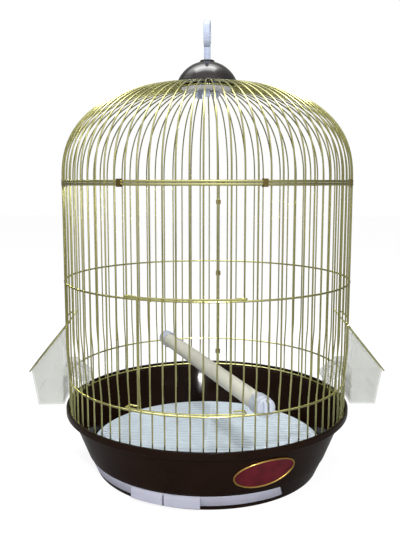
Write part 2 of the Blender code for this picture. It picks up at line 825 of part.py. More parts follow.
def build_dome(material, pivot):
    """Bars bent inward over the wall, from the dome's own foot ring to the hub."""
    last_turn = dome_turn(HUB_RADIUS)
    first = -BARS_PER_SIXTEENTH
    for side, sixteenths in DOME_SECTORS:
        net = WireNet()
        after_last = first + sixteenths * BARS_PER_SIXTEENTH
        columns = bar_azimuths(first, after_last - 1)
        first = after_last
        knots = []
        for azimuth in columns:
            across = sideways(azimuth) * HALF_WIRE
            foot = polar_point(WALL_RADIUS, azimuth, DOME_FOOT_HEIGHT)
            knot = net.knot(foot, across, UP * HALF_JOINT_RING, outward(azimuth) * HALF_WIRE)
            knots.append(knot)
            last_end = knot["above"]
            for step in range(1, DOME_STEPS + 1):
                turn = last_turn * step / DOME_STEPS
                radius, height = dome_point(turn)
                ahead = dome_point(turn + SLOPE_TURN)
                behind = dome_point(turn - SLOPE_TURN)
                slope = outward(azimuth) * (ahead[0] - behind[0]) + UP * (ahead[1] - behind[1])
                normal = sideways(azimuth).cross(slope).normalized()
                centre = polar_point(radius, azimuth, height)
                corners = net.section(centre, across, normal * HALF_WIRE)
                net.join(last_end, corners)
                last_end = corners
            net.leave_open(last_end)
        for left, right in zip(knots, knots[1:]):
            net.join(left["right"], right["left"])
        for column, end_side, sign in ((0, "left", -1), (-1, "right", 1)):
            azimuth = columns[column] + sign * (PITCH / 2 - GAP / 2 / WALL_RADIUS)
            centre = polar_point(WALL_RADIUS, azimuth, DOME_FOOT_HEIGHT)
            end = net.section(centre, UP * HALF_JOINT_RING, outward(azimuth) * HALF_WIRE)
            net.join(knots[column][end_side], end)
            net.leave_open(end)
        name = "dome_" + side
        place(name, net.finish(name), material, pivot)


def hub_ring_foot():
    """Height of the hub ring's underside."""
    return dome_height(HUB_RING_RADIUS + HALF_WIRE) - 2 * WIRE - GAP


def build_hub_ring(material, pivot):
    """The small ring under the bars' upper ends."""
    foot = hub_ring_foot()
    profile = [
        (HUB_RING_RADIUS - HALF_WIRE, foot),
        (HUB_RING_RADIUS + HALF_WIRE, foot),
        (HUB_RING_RADIUS + HALF_WIRE, foot + WIRE),
        (HUB_RING_RADIUS - HALF_WIRE, foot + WIRE),
    ]
    shape = bmesh.new()
    add_turned(shape, profile, CAP_SIDES)
    return place("dome_hub_ring", mesh_from(shape, "dome_hub_ring"), material, pivot)


# Clips

def clip_outline(half_width, half_depth, across, along):
    """A sheet strip folded round a space, open in the middle of one long side."""
    outer_width = half_width + CLIP_SHEET
    outer_depth = half_depth + CLIP_SHEET
    half_slot = DOME_CLIP_SLOT / 2
    corners = [
        (half_slot, -outer_depth),
        (outer_width, -outer_depth),
        (outer_width, outer_depth),
        (-outer_width, outer_depth),
        (-outer_width, -outer_depth),
        (-half_slot, -outer_depth),
        (-half_slot, -half_depth),
        (-half_width, -half_depth),
        (-half_width, half_depth),
        (half_width, half_depth),
        (half_width, -half_depth),
        (half_slot, -half_depth),
    ]
    return [across * a + along * b for a, b in corners]


def build_dome_clips(material, pivot):
    """Clips round the wall's top ring and the dome's foot ring, between bars."""
    half_height = (DOME_FOOT_HEIGHT - WALL_TOP_HEIGHT) / 2 + HALF_JOINT_RING + GAP
    middle = (DOME_FOOT_HEIGHT + WALL_TOP_HEIGHT) / 2
    travel = Vector((DOME_CLIP_WIDTH, 0, 0))
    outline = clip_outline(half_height, HALF_WIRE + SLIP_GAP, UP, Vector((0, -1, 0)))
    shape = bmesh.new()
    add_prism(shape, [point - travel / 2 for point in outline], travel)
    mesh = mesh_from(shape, "dome_clip")
    first = math.radians(FIRST_DOME_CLIP_AZIMUTH)
    for index in range(DOME_CLIP_COUNT):
        wanted = first + 2 * math.pi * index / DOME_CLIP_COUNT
        azimuth = round(wanted / PITCH) * PITCH
        spot = polar_point(WALL_RADIUS, azimuth, middle)
        place("dome_clip_" + str(index + 1), mesh, material, pivot, spot, azimuth)


def build_seam_clips(material, pivot):
    """Clips round the two bars that meet at the back seam."""
    half_width = WIRE + GAP + SLIP_GAP
    outline = clip_outline(half_width, HALF_WIRE + SLIP_GAP, Vector((1, 0, 0)), Vector((0, -1, 0)))
    travel = UP * SEAM_CLIP_LENGTH
    shape = bmesh.new()
    add_prism(shape, [point - travel / 2 for point in outline], travel)
    mesh = mesh_from(shape, "seam_clip")
    azimuth = bar_azimuth(SEAM_BAR)
    rings = (LOWER_RING_HEIGHT, MID_RING_HEIGHT, WALL_TOP_HEIGHT)
    for index, (ring, drop) in enumerate(zip(rings, SEAM_CLIP_DROPS)):
        height = ring - drop
        spot = polar_point(wall_radius(height), azimuth, height)
        place("seam_clip_" + str(index + 1), mesh, material, pivot, spot, azimuth)


# Guillotine door

def build_door(material, pivot):
    """A net of bars that slides up on the two bars beside it."""
    net = WireNet()
    radius = WALL_RADIUS + DOOR_STANDOFF
    top = MID_RING_HEIGHT + HALF_RING + GAP + HALF_WIRE
    foot = LOWER_RING_HEIGHT + HALF_RING + DOOR_FOOT_GAP + HALF_WIRE
    heights = (foot, top)
    reaches = (DOOR_STANDOFF + WALL_FOOT_INSET, DOOR_STANDOFF)
    rows = []
    for height in heights:
        row = []
        for index in range(DOOR_FIRST_BAR, DOOR_LAST_BAR + 1):
            azimuth = bar_azimuth(index)
            centre = polar_point(radius, azimuth, height)
            across = sideways(azimuth) * HALF_WIRE
            row.append(net.knot(centre, across, UP * HALF_WIRE, outward(azimuth) * HALF_WIRE))
        for left, right in zip(row, row[1:]):
            net.join(left["right"], right["left"])
        rows.append(row)
    for below, above in zip(*rows):
        net.join(below["above"], above["below"])
    for row, height, reach in zip(rows, heights, reaches):
        for column, end_side, index, sign in (
            (0, "left", DOOR_FIRST_BAR, -1),
            (-1, "right", DOOR_LAST_BAR, 1),
        ):
            origin = polar_point(radius, bar_azimuth(index), height)
            guide = bar_azimuth(index + sign)
            points = door_hook_points(guide, sign, height, reach)
            net.draw_on(row[column][end_side], origin, points, UP, HALF_WIRE, HALF_WIRE)
    return place("guillotine_door", net.finish("guillotine_door"), material, pivot)


def door_hook_points(guide, sign, height, reach):
    """A wire's way round the outer side of a guide bar and in behind it."""
    side_pass = WIRE + SLIP_GAP
    corner = HALF_WIRE
    steps = [
        (-side_pass, DOOR_STANDOFF),
        (side_pass - corner, DOOR_STANDOFF),
        (side_pass, DOOR_STANDOFF - corner),
        (side_pass, corner - reach),
        (side_pass - corner, -reach),
        (-side_pass, -reach),
    ]
    base = polar_point(WALL_RADIUS, guide, height)
    return [base + sideways(guide) * (sign * side) + outward(guide) * out for side, out in steps]


# Feeders

def feeder_half_width():
    first, last = FEEDER_BARS["right"]
    opening = WALL_RADIUS * math.sin((last - first) * PITCH / 2)
    return opening - HALF_WIRE - FEEDER_SIDE_GAP


def flap_hinge_radius():
    return WALL_RADIUS * math.cos(FLAP_HINGE_BARS * PITCH)


def flap_lean():
    """The closed flap's lean from upright, so that it lies just above the trough's rim."""
    out = FEEDER_TOP_RADIUS - flap_hinge_radius()
    down = FLAP_HINGE_HEIGHT - FEEDER_TOP_HEIGHT
    return math.atan2(out, down) + math.asin((HALF_WIRE + GAP) / math.hypot(out, down))


def flap_row_pitch():
    """Spacing of the flap's rows, so that the last one lies over the trough's rim."""
    out = FEEDER_TOP_RADIUS - flap_hinge_radius()
    down = FLAP_HINGE_HEIGHT - FEEDER_TOP_HEIGHT
    return (math.hypot(out, down) + FLAP_OVERHANG - FLAP_NECK) / (FLAP_ROWS - 1)


def feeder_outline_point(radius, height, side):
    return Vector((side, -radius, height))


def build_feeders(material, pivot):
    """Clear troughs that hang outside the wall on the lower ring."""
    half_width = feeder_half_width()
    sheet = FEEDER_SHEET
    inner_wall = WALL_RADIUS + FEEDER_OUTSET
    saddle_inner = inner_wall - FEEDER_SADDLE_WIDTH
    saddle_top = FEEDER_TOP_HEIGHT
    slope = (FEEDER_TOP_REACH - FEEDER_FOOT_REACH) / FEEDER_DEPTH
    trough = [
        (FEEDER_TOP_RADIUS, FEEDER_TOP_HEIGHT),
        (FEEDER_FOOT_RADIUS, FEEDER_FOOT_HEIGHT),
        (inner_wall, FEEDER_FOOT_HEIGHT),
        (inner_wall, saddle_top - sheet),
        (saddle_inner, saddle_top - sheet),
        (FEEDER_LIP_RADIUS, FEEDER_LIP_HEIGHT - sheet),
        (FEEDER_LIP_RADIUS, FEEDER_LIP_HEIGHT),
        (saddle_inner, saddle_top),
        (inner_wall + sheet, saddle_top),
        (inner_wall + sheet, FEEDER_FOOT_HEIGHT + sheet),
        (FEEDER_FOOT_RADIUS - sheet + slope * sheet, FEEDER_FOOT_HEIGHT + sheet),
        (FEEDER_TOP_RADIUS - sheet, FEEDER_TOP_HEIGHT),
    ]
    inset = half_width - sheet / 2
    shape = bmesh.new()
    outline = [feeder_outline_point(radius, height, -inset) for radius, height in trough]
    add_prism(shape, outline, Vector((2 * inset, 0, 0)))
    mesh = mesh_from(shape, "seed_feeder")
    ends = bmesh.new()
    wing_top = FEEDER_TOP_HEIGHT + (FEEDER_TOP_RADIUS - inner_wall) / math.tan(flap_lean())
    seat = LOWER_RING_HEIGHT + HALF_RING + GAP
    wing = [
        (inner_wall, FEEDER_FOOT_HEIGHT),
        (FEEDER_FOOT_RADIUS, FEEDER_FOOT_HEIGHT),
        (FEEDER_TOP_RADIUS, FEEDER_TOP_HEIGHT),
        (inner_wall, wing_top),
        (inner_wall, saddle_top + FEEDER_RIB_RISE),
        (saddle_inner, saddle_top + FEEDER_RIB_RISE),
        (FEEDER_LIP_RADIUS, FEEDER_LIP_HEIGHT + FEEDER_RIB_RISE),
        (FEEDER_LIP_RADIUS, FEEDER_LIP_HEIGHT - sheet),
        (saddle_inner, seat),
        (inner_wall, seat),
    ]
    for side in (-half_width, half_width - sheet):
        outline = [feeder_outline_point(radius, height, side) for radius, height in wing]
        add_prism(ends, outline, Vector((sheet, 0, 0)))
    bmesh.ops.recalc_face_normals(ends, faces=ends.faces)
    for side, azimuth in FEEDER_AZIMUTHS.items():
        feeder = place("seed_feeder_" + side, mesh, material, pivot, azimuth=azimuth)
        combine(feeder, ends.copy(), "UNION")
    ends.free()


def build_flaps(material, pivots):
    """Wire flaps over the feeders, hung by two eyes on the wall's bars."""
    net = WireNet()
    lean = flap_lean()
    down = Vector((0, -math.sin(lean), -math.cos(lean)))
    across = Vector((1, 0, 0))
    normal = across.cross(down)
    half_span = (FLAP_COLUMNS - 1) / 2
    bar_pitch = WALL_RADIUS * math.sin(half_span * PITCH) / half_span
    row_pitch = flap_row_pitch()
    rows = []
    for step in range(FLAP_ROWS):
        row = []
        for column in range(FLAP_COLUMNS):
            side = (column - half_span) * bar_pitch
            centre = across * side + down * (FLAP_NECK + step * row_pitch)
            row.append(net.knot(centre, across * HALF_WIRE, down * HALF_WIRE, normal * HALF_WIRE))
        for left, right in zip(row, row[1:]):
            net.join(left["right"], right["left"])
        rows.append(row)
    for upper, lower in zip(rows, rows[1:]):
        for first, second in zip(upper, lower):
            net.join(first["above"], second["below"])
    eye_side = WALL_RADIUS * math.sin(FLAP_HINGE_BARS * PITCH)
    for end_side, column, sign in (("left", 0, -1), ("right", -1, 1)):
        origin = across * (sign * half_span * bar_pitch) + down * FLAP_NECK
        points = []
        for step in range(EYE_STEPS + 1):
            turn = math.radians(EYE_START + EYE_TURN * step / EYE_STEPS)
            side = sign * (eye_side - EYE_RADIUS * math.cos(turn))
            points.append(across * side + down * (EYE_RADIUS * math.sin(turn)))
        net.draw_on(rows[0][column][end_side], origin, points, normal, HALF_WIRE, HALF_WIRE)
    mesh = net.finish("feeder_flap")
    for side, sign in (("right", 1), ("left", -1)):
        place("feeder_flap_" + side, mesh, material, pivots[side])


# Perch

def build_perch(rod_material, clip_material, pivot):
    """A straight rod between two slotted end clips that straddle a bar."""
    seat = LOWER_RING_HEIGHT + HALF_RING + GAP
    height = LOWER_RING_HEIGHT + PERCH_RISE
    azimuth = bar_azimuth(PERCH_FIRST_BAR)
    ring_inner = (WALL_FOOT_RADIUS - HALF_WIRE) * math.cos(PITCH / 2)
    face = math.sqrt(ring_inner ** 2 - (PERCH_CLIP_DIAMETER / 2) ** 2) - GAP
    rod_end = face - PERCH_CLIP_FLOOR - GAP
    flat = Matrix.Rotation(math.pi / 2, 4, "X")
    shape = bmesh.new()
    rod = [(0, -rod_end), (PERCH_DIAMETER / 2, -rod_end), (PERCH_DIAMETER / 2, rod_end), (0, rod_end)]
    add_turned(shape, rod, SMALL_SIDES, flat)
    perch = place("perch_rod", mesh_from(shape, "perch_rod"), rod_material, pivot, UP * height, azimuth)
    smooth(perch)
    bore = PERCH_DIAMETER / 2 + GAP
    mouth = face - PERCH_CLIP_LENGTH
    clip = [
        (0, face - PERCH_CLIP_FLOOR),
        (bore, face - PERCH_CLIP_FLOOR),
        (bore, mouth),
        (PERCH_CLIP_DIAMETER / 2, mouth),
        (PERCH_CLIP_DIAMETER / 2, face),
        (0, face),
    ]
    shape = bmesh.new()
    add_turned(shape, clip, SMALL_SIDES, flat)
    mesh = mesh_from(shape, "perch_clip")
    tines = bmesh.new()
    for side in (-1, 1):
        inner = side * (HALF_WIRE + SLIP_GAP)
        outer = inner + side * FORK_TINE
        low = Vector((min(inner, outer), -face - FORK_REACH, seat - height))
        high = Vector((max(inner, outer), OVERLAP - face, seat - height + FORK_RISE))
        add_box(tines, low, high)
    bmesh.ops.recalc_face_normals(tines, faces=tines.faces)
    for side, turn in (("front", 0), ("back", math.pi)):
        piece = place("perch_clip_" + side, mesh, clip_material, pivot, UP * height, azimuth + turn)
        combine(piece, tines.copy(), "UNION")
        smooth(piece)
    tines.free()


# Cap, cup and hook

def cap_foot():
    """Height of the cap's rim, just above the bars under it."""
    return dome_height(CAP_RADIUS - CAP_SHELL) + HALF_WIRE + GAP


def cap_sphere():
    """Radius of the ball that the cap's outside is cut from."""
    return (CAP_RADIUS ** 2 + CAP_RISE ** 2) / (2 * CAP_RISE)


def cap_middle():
    """Height of that ball's middle, below the cap."""
    return cap_foot() + CAP_RISE - cap_sphere()


def crown_turn():
    """How far up the cap's curve its raised crown starts."""
    return math.acos(CROWN_RADIUS / cap_sphere())


def cap_top():
    return cap_middle() + cap_sphere() * math.sin(crown_turn()) + CROWN_RISE


def build_cap(material, pivot):
    foot = cap_foot()
    middle = cap_middle()
    crown_top = cap_top()
    bore = STEM_DIAMETER / 2 + GAP
    outside = cap_sphere()
    inside = outside - CAP_SHELL
    start = math.asin((foot - middle) / outside)
    profile = []
    for step in range(CAP_STEPS + 1):
        turn = blend(start, crown_turn(), step / CAP_STEPS)
        profile.append((outside * math.cos(turn), middle + outside * math.sin(turn)))
    profile += [(CROWN_RADIUS, crown_top), (bore, crown_top)]
    start = math.asin((foot - middle) / inside)
    end = math.acos(bore / inside)
    for step in range(CAP_INNER_STEPS, -1, -1):
        turn = blend(start, end, step / CAP_INNER_STEPS)
        profile.append((inside * math.cos(turn), middle + inside * math.sin(turn)))
    shape = bmesh.new()
    add_turned(shape, profile, CAP_SIDES)
    cap = place("top_cap", mesh_from(shape, "top_cap"), material, pivot)
    cutter = bmesh.new()
    for side in (-1, 1):
        near = side * (CROWN_RADIUS - NOTCH_INSET)
        far = side * (CROWN_RADIUS + CUT_OVERRUN)
        low = Vector((-NOTCH_WIDTH / 2, min(near, far), crown_top - NOTCH_DEPTH + CAP_SHELL))
        high = Vector((NOTCH_WIDTH / 2, max(near, far), crown_top + CUT_OVERRUN))
        add_box(cutter, low, high)
    combine(cap, cutter, "DIFFERENCE")
    smooth(cap)
    return cap


def cup_floor():
    """Height of the cup's underside."""
    return hub_ring_foot() - GAP - CUP_DEPTH


def build_cup(material, pivot):
    """A shallow cup against the hub ring, which the hook's prongs hold up."""
    bottom = cup_floor()
    top = bottom + CUP_DEPTH
    hole = FLANGE_RADIUS + GAP
    profile = [
        (hole, bottom),
        (CUP_RADIUS - CUP_TAPER, bottom),
        (CUP_RADIUS, top),
        (CUP_RADIUS - CUP_WALL, top),
        (CUP_RADIUS - CUP_TAPER - CUP_WALL, bottom + CUP_WALL),
        (hole, bottom + CUP_WALL),
    ]
    shape = bmesh.new()
    add_turned(shape, profile, CAP_SIDES)
    cup = place("hub_cup", mesh_from(shape, "hub_cup"), material, pivot)
    smooth(cup)
    return cup


def build_hook(material, pivot):
    """An open ring on a stem that turns in the cap, with three snap prongs below."""
    net = WireNet()
    half_thick = HOOK_THICK / 2
    radius = HOOK_DIAMETER / 2 - half_thick
    middle = cap_top() + HOOK_STEM + HOOK_DIAMETER / 2
    along_x = Vector((1, 0, 0))
    points = []
    for step in range(HOOK_STEPS + 1):
        turn = math.radians(blend(HOOK_START, HOOK_END, step / HOOK_STEPS))
        points.append(Vector((0, -radius * math.sin(turn), middle - radius * math.cos(turn))))
    half_width = HOOK_WIDTH / 2
    start = net.section(points[0], UP * half_thick, along_x * half_width)
    net.shape.faces.new(start)
    net.draw_on(start, points[0], points[1:], along_x, half_thick, half_width)
    hook = place("hanging_hook", net.finish("hanging_hook"), material, pivot)
    flange_top = cap_foot() + CAP_RISE - CAP_SHELL - FLANGE_DROP
    flange_low = flange_top - FLANGE_THICK
    stem = [
        (0, middle - radius),
        (STEM_DIAMETER / 2, middle - radius),
        (STEM_DIAMETER / 2, flange_top),
        (FLANGE_RADIUS, flange_top),
        (FLANGE_RADIUS, flange_low),
        (0, flange_low),
    ]
    shape = bmesh.new()
    add_turned(shape, stem, SMALL_SIDES)
    combine(hook, shape, "UNION")
    combine(hook, hook_prongs(flange_low + OVERLAP), "UNION")
    smooth(hook)
    return hook


def hook_prongs(top):
    """Three legs whose barbs catch under the cup."""
    shape = bmesh.new()
    floor = cup_floor()
    outer = math.sqrt(FLANGE_RADIUS ** 2 - (PRONG_WIDTH / 2) ** 2) - GAP
    inner = outer - PRONG_THICK
    tip = floor - PRONG_TIP
    side_view = [
        (inner, top),
        (inner, tip),
        (outer, tip),
        (outer + BARB_REACH, floor - GAP - BARB_RISE),
        (outer + BARB_REACH, floor - GAP),
        (outer, floor - GAP),
        (outer, top),
    ]
    for index in range(PRONG_COUNT):
        leg = bmesh.new()
        outline = [Vector((-PRONG_WIDTH / 2, -radius, height)) for radius, height in side_view]
        add_prism(leg, outline, Vector((PRONG_WIDTH, 0, 0)))
        append_turned_copy(shape, leg, 2 * math.pi * index / PRONG_COUNT)
    return shape


def build_all():
    clear_scene()
    gold = make_material("gold_wire", (0.62, 0.52, 0.2), 0.25, metallic=1.0)
    dark_gold = make_material("clip_steel", (0.28, 0.22, 0.1), 0.4, metallic=1.0)
    brown = make_material("brown_plastic", (0.022, 0.012, 0.008), 0.22)
    cap_brown = make_material("cap_plastic", (0.05, 0.043, 0.04), 0.2)
    white = make_material("grille_plastic", (0.68, 0.74, 0.82), 0.35)
    lilac = make_material("drawer_plastic", (0.6, 0.6, 0.68), 0.35)
    handle_white = make_material("hook_plastic", (0.6, 0.68, 0.8), 0.3)
    grey = make_material("cup_plastic", (0.45, 0.45, 0.45), 0.4)
    ivory = make_material("perch_plastic", (0.75, 0.74, 0.66), 0.4)
    clip_white = make_material("perch_clip_plastic", (0.8, 0.8, 0.8), 0.35)
    clear = make_material("clear_plastic", (0.85, 0.87, 0.88), 0.08, alpha=0.35)
    red = make_material("badge_enamel", (0.25, 0.01, 0.015), 0.3)

    build_tray(brown)
    build_grille(white)
    build_badge(red)
    drawer_pivot = make_pivot("drawer_slide", azimuth=math.radians(DRAWER_AZIMUTH))
    build_drawer(lilac, drawer_pivot)

    cage_pivot = make_pivot("cage_lift")
    build_wall(gold, cage_pivot)
    build_dome(gold, cage_pivot)
    build_hub_ring(gold, cage_pivot)
    build_dome_clips(dark_gold, cage_pivot)
    build_seam_clips(dark_gold, cage_pivot)
    build_feeders(clear, cage_pivot)
    build_perch(ivory, clip_white, cage_pivot)
    build_cap(cap_brown, cage_pivot)
    build_cup(grey, cage_pivot)

    door_pivot = make_pivot("door_lift", parent=cage_pivot)
    build_door(gold, door_pivot)
    hook_pivot = make_pivot("hook_swivel", parent=cage_pivot)
    build_hook(handle_white, hook_pivot)
    flap_pivots = {}
    for side, azimuth in FEEDER_AZIMUTHS.items():
        spot = polar_point(flap_hinge_radius(), azimuth, FLAP_HINGE_HEIGHT)
        flap_pivots[side] = make_pivot("flap_hinge_" + side, spot, cage_pivot, azimuth)
    build_flaps(gold, flap_pivots)


build_all()
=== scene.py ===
import math

import bmesh
import bpy
from mathutils import Matrix, Vector


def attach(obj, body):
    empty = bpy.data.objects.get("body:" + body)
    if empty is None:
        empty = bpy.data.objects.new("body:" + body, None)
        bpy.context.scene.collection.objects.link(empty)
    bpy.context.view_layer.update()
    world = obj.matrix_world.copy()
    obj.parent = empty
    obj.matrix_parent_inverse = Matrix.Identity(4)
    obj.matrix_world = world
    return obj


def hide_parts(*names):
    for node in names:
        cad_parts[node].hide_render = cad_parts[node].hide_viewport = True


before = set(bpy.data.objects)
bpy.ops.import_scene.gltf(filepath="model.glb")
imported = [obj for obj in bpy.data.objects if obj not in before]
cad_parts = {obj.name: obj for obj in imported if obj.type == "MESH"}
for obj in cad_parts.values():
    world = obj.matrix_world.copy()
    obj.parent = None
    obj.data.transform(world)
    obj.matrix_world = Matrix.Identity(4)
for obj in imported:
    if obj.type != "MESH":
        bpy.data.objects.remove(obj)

MM = 0.001
UP = Vector((0, 0, 1))
ACROSS = Vector((1, 0, 0))
BACKWARD = Vector((0, 1, 0))
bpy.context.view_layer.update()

# Sizes shared with the solids, wires by their radius

CLEARANCE = 0.3 * MM
BAR_COUNT = 80
PITCH = 2 * math.pi / BAR_COUNT
BAR = 0.85 * MM
RING = 1.1 * MM
JOINT_RING = 1.35 * MM
DOOR_WIRE = 0.85 * MM
FLAP_WIRE = 0.85 * MM
WALL_RADIUS = 166.0 * MM
WALL_FOOT_RADIUS = 163.5 * MM
RING_OUTSET = 0.15 * MM
BASE_RING_HEIGHT = 72.5 * MM
LOWER_RING_HEIGHT = 110.8 * MM
TAPER_TOP_HEIGHT = 150.0 * MM
MID_RING_HEIGHT = 224.4 * MM
WALL_TOP_HEIGHT = 334.5 * MM
DOME_FOOT_HEIGHT = 337.5 * MM
DOME_RISE = 111.0 * MM
DOME_FULLNESS = 2.45
HUB_RADIUS = 28.5 * MM
HUB_RING_RADIUS = 30.0 * MM
DOOR_FIRST_BAR = -5
DOOR_LAST_BAR = 2
DOOR_STANDOFF = 2.35 * MM
FEEDER_BARS = {"right": (18, 22), "left": (-21, -17)}
FEEDER_WINDOW_HEIGHT = 179.0 * MM
SEAM_BAR = 39
SEAM_HALF_GAP = 1.15 * MM
LEDGE_HEIGHT = 71.0 * MM
RIM_UNDERSIDE = 68.2 * MM
TRAY_TOP = 76.2 * MM
RIM_OUTER_RADIUS = 168.25 * MM
RIM_INNER_RADIUS = 165.15 * MM
TRAY_FLARE_RADIUS = 161.9 * MM
TRAY_KNEE_RADIUS = 142.7 * MM
TRAY_KNEE_HEIGHT = 21.0 * MM
TRAY_FOOT_RADIUS = 133.4 * MM
TRAY_FLOOR = 2.8 * MM
TRAY_WALL = 2.5 * MM
DRAWER_AZIMUTH = math.radians(-15.2)
SLOT_HALF_WIDTH = 112.0 * MM
SLOT_TOP = 18.6 * MM
SLOT_SILL = 4.9 * MM
SHELF_HEIGHT = 20.5 * MM
SHELF_FOOT = 19.0 * MM


# Places on the cage

def bar_azimuth(index):
    """Azimuth of a bar, from 0 at the front toward the right."""
    return (index + 0.5) * PITCH


def outward(azimuth):
    return Vector((math.sin(azimuth), -math.cos(azimuth), 0))


def sideways(azimuth):
    return Vector((math.cos(azimuth), math.sin(azimuth), 0))


def polar_point(radius, azimuth, height):
    return outward(azimuth) * radius + UP * height


def blend(start, end, share):
    return start + (end - start) * share


def spread(start, end, steps):
    """Evenly spaced values from start to end."""
    return [blend(start, end, step / steps) for step in range(steps + 1)]


def full_turn(sides):
    return [2 * math.pi * side / sides for side in range(sides)]


def smooth_step(share):
    share = min(max(share, 0), 1)
    return share * share * (3 - 2 * share)


def wall_radius(height):
    """The bars draw in softly toward the base."""
    share = (height - LOWER_RING_HEIGHT) / (TAPER_TOP_HEIGHT - LOWER_RING_HEIGHT)
    return blend(WALL_FOOT_RADIUS, WALL_RADIUS, smooth_step(share))


def tray_radius(height):
    """Radius of the tray's outside, which flares in two slopes."""
    if height < TRAY_KNEE_HEIGHT:
        return blend(TRAY_FOOT_RADIUS, TRAY_KNEE_RADIUS, height / TRAY_KNEE_HEIGHT)
    share = (height - TRAY_KNEE_HEIGHT) / (RIM_UNDERSIDE - TRAY_KNEE_HEIGHT)
    return blend(TRAY_KNEE_RADIUS, TRAY_FLARE_RADIUS, share)


def dome_point(turn):
    """Radius and height of a dome bar's middle line, turn 0 at its foot."""
    power = 2 / DOME_FULLNESS
    return (
        WALL_RADIUS * math.cos(turn) ** power,
        DOME_FOOT_HEIGHT + DOME_RISE * math.sin(turn) ** power,
    )


def dome_turn(radius):
    return math.acos((radius / WALL_RADIUS) ** (DOME_FULLNESS / 2))


def dome_height(radius):
    return dome_point(dome_turn(radius))[1]


# Drawing pieces

CORNER_SHARE = 0.48
TIP_TURNS = (40, 78)
ON_AXIS = 0.01 * MM
HOOP_STEPS = 160
SHARP_ANGLE = 38
MOULDED_ANGLE = 50


def millimetres(points):
    return [(x * MM, y * MM) for x, y in points]


def rectangle(low, high):
    return [(low[0], low[1]), (high[0], low[1]), (high[0], high[1]), (low[0], high[1])]


def eased(points, easing, steps=4, closed=False):
    """Rounds the corners of a line of points, by one easing or by one for each."""
    points = [Vector(point) for point in points]
    count = len(points)
    easings = easing if isinstance(easing, (list, tuple)) else [easing] * count
    line = []
    for index, corner in enumerate(points):
        if not closed and index in (0, count - 1) or easings[index] == 0:
            line.append(corner)
            continue
        before = points[index - 1] - corner
        after = points[(index + 1) % count] - corner
        limits = before.length * CORNER_SHARE, after.length * CORNER_SHARE
        reach = min(easings[index], *limits)
        start = corner + before.normalized() * reach
        end = corner + after.normalized() * reach
        for share in spread(0, 1, steps):
            line.append(blend(blend(start, corner, share), blend(corner, end, share), share))
    return line


def round_section(radius, sides=8):
    return [(radius * math.cos(turn), radius * math.sin(turn)) for turn in full_turn(sides)]


def strap_section(half_width, half_thick, easing):
    corners = rectangle((-half_width, -half_thick), (half_width, half_thick))
    return eased(corners, easing, 3, closed=True)


def arc(radius, height, start, end, steps):
    return [polar_point(radius, azimuth, height) for azimuth in spread(start, end, steps)]


class Shape:
    """The points and faces of one piece while it is drawn."""

    def __init__(self):
        self.points = []
        self.faces = []

    def loop(self, points):
        first = len(self.points)
        self.points += [Vector(point) for point in points]
        return list(range(first, len(self.points)))

    def face(self, corners):
        corners = tuple(dict.fromkeys(corners))
        if len(corners) > 2:
            self.faces.append(corners)

    def skin(self, loops, closed=False):
        """Faces from each loop to the next."""
        for near, far in zip(loops, loops[1:] + loops[:1] if closed else loops[1:]):
            for index, corner in enumerate(near):
                after = (index + 1) % len(near)
                self.face((corner, near[after], far[after], far[index]))

    def close(self, loops):
        """A skin over the loops with a face at each end."""
        self.skin(loops)
        self.face(loops[0])
        self.face(loops[-1])

    def sweep(self, path, section, side=None, closed=False, tip=0.0):
        """A section led along a path; tip is how far its ends round out."""
        count = len(path)
        side = side or (path[1] - path[0]).orthogonal()
        stations = []
        for index, point in enumerate(path):
            before = path[index - 1] if index or closed else point
            after = path[(index + 1) % count] if index + 1 < count or closed else point
            along = (after - before).normalized()
            side = (side - along * side.dot(along)).normalized()
            stations.append((point, along, side))
        if not closed and tip:
            first, last = stations[0], stations[-1]
            for turn in TIP_TURNS:
                reach = math.sin(math.radians(turn)) * tip
                share = math.cos(math.radians(turn))
                stations.insert(0, (first[0] - first[1] * reach, first[1], first[2] * share))
                stations.append((last[0] + last[1] * reach, last[1], last[2] * share))
        loops = []
        for point, along, side in stations:
            up = along.cross(side)
            loops.append(self.loop([point + side * a + up * b for a, b in section]))
        if closed:
            self.skin(loops, closed)
        else:
            self.close(loops)

    def wire(self, path, radius, sides=8, closed=False):
        self.sweep(path, round_section(radius, sides), closed=closed, tip=radius)

    def hoop(self, radius, height, wire, steps=HOOP_STEPS, sides=8):
        path = arc(radius, height, 0, 2 * math.pi, steps)[:-1]
        self.wire(path, wire, sides, closed=True)

    def turned(self, profile, sides=96, place=Matrix()):
        """A body turned about Z from a profile of radius and height."""
        loops = []
        for radius, height in profile:
            if radius < ON_AXIS:
                loops.append(self.loop([place @ Vector((0, 0, height))]) * sides)
                continue
            rim = [Vector((radius * math.cos(turn), radius * math.sin(turn), height))
                   for turn in full_turn(sides)]
            loops.append(self.loop([place @ point for point in rim]))
        self.skin(loops, closed=profile[0][0] > ON_AXIS)

    def prism(self, outline, travel):
        self.close([self.loop(outline), self.loop([Vector(point) + travel for point in outline])])

    def box(self, low, high, place=Matrix()):
        outline = [place @ Vector((x, y, low[2])) for x, y in rectangle(low, high)]
        self.prism(outline, place.to_3x3() @ (UP * (high[2] - low[2])))

    def mesh(self, name):
        mesh = bpy.data.meshes.new(name)
        mesh.from_pydata([tuple(point) for point in self.points], [], self.faces)
        work = bmesh.new()
        work.from_mesh(mesh)
        bmesh.ops.recalc_face_normals(work, faces=work.faces)
        work.to_mesh(mesh)
        work.free()
        return mesh


def place_in_scene(name, data):
    thing = bpy.data.objects.new(name, data)
    bpy.context.collection.objects.link(thing)
    return thing


def make(name, shape, finish):
    """Turns a drawn shape into a piece with its finish."""
    piece = place_in_scene(name, shape.mesh(name))
    piece.data.materials.append(finish.material)
    smooth(piece)
    return piece


def smooth(piece):
    piece.data.shade_smooth()
    piece.data.set_sharp_from_angle(angle=math.radians(SHARP_ANGLE))


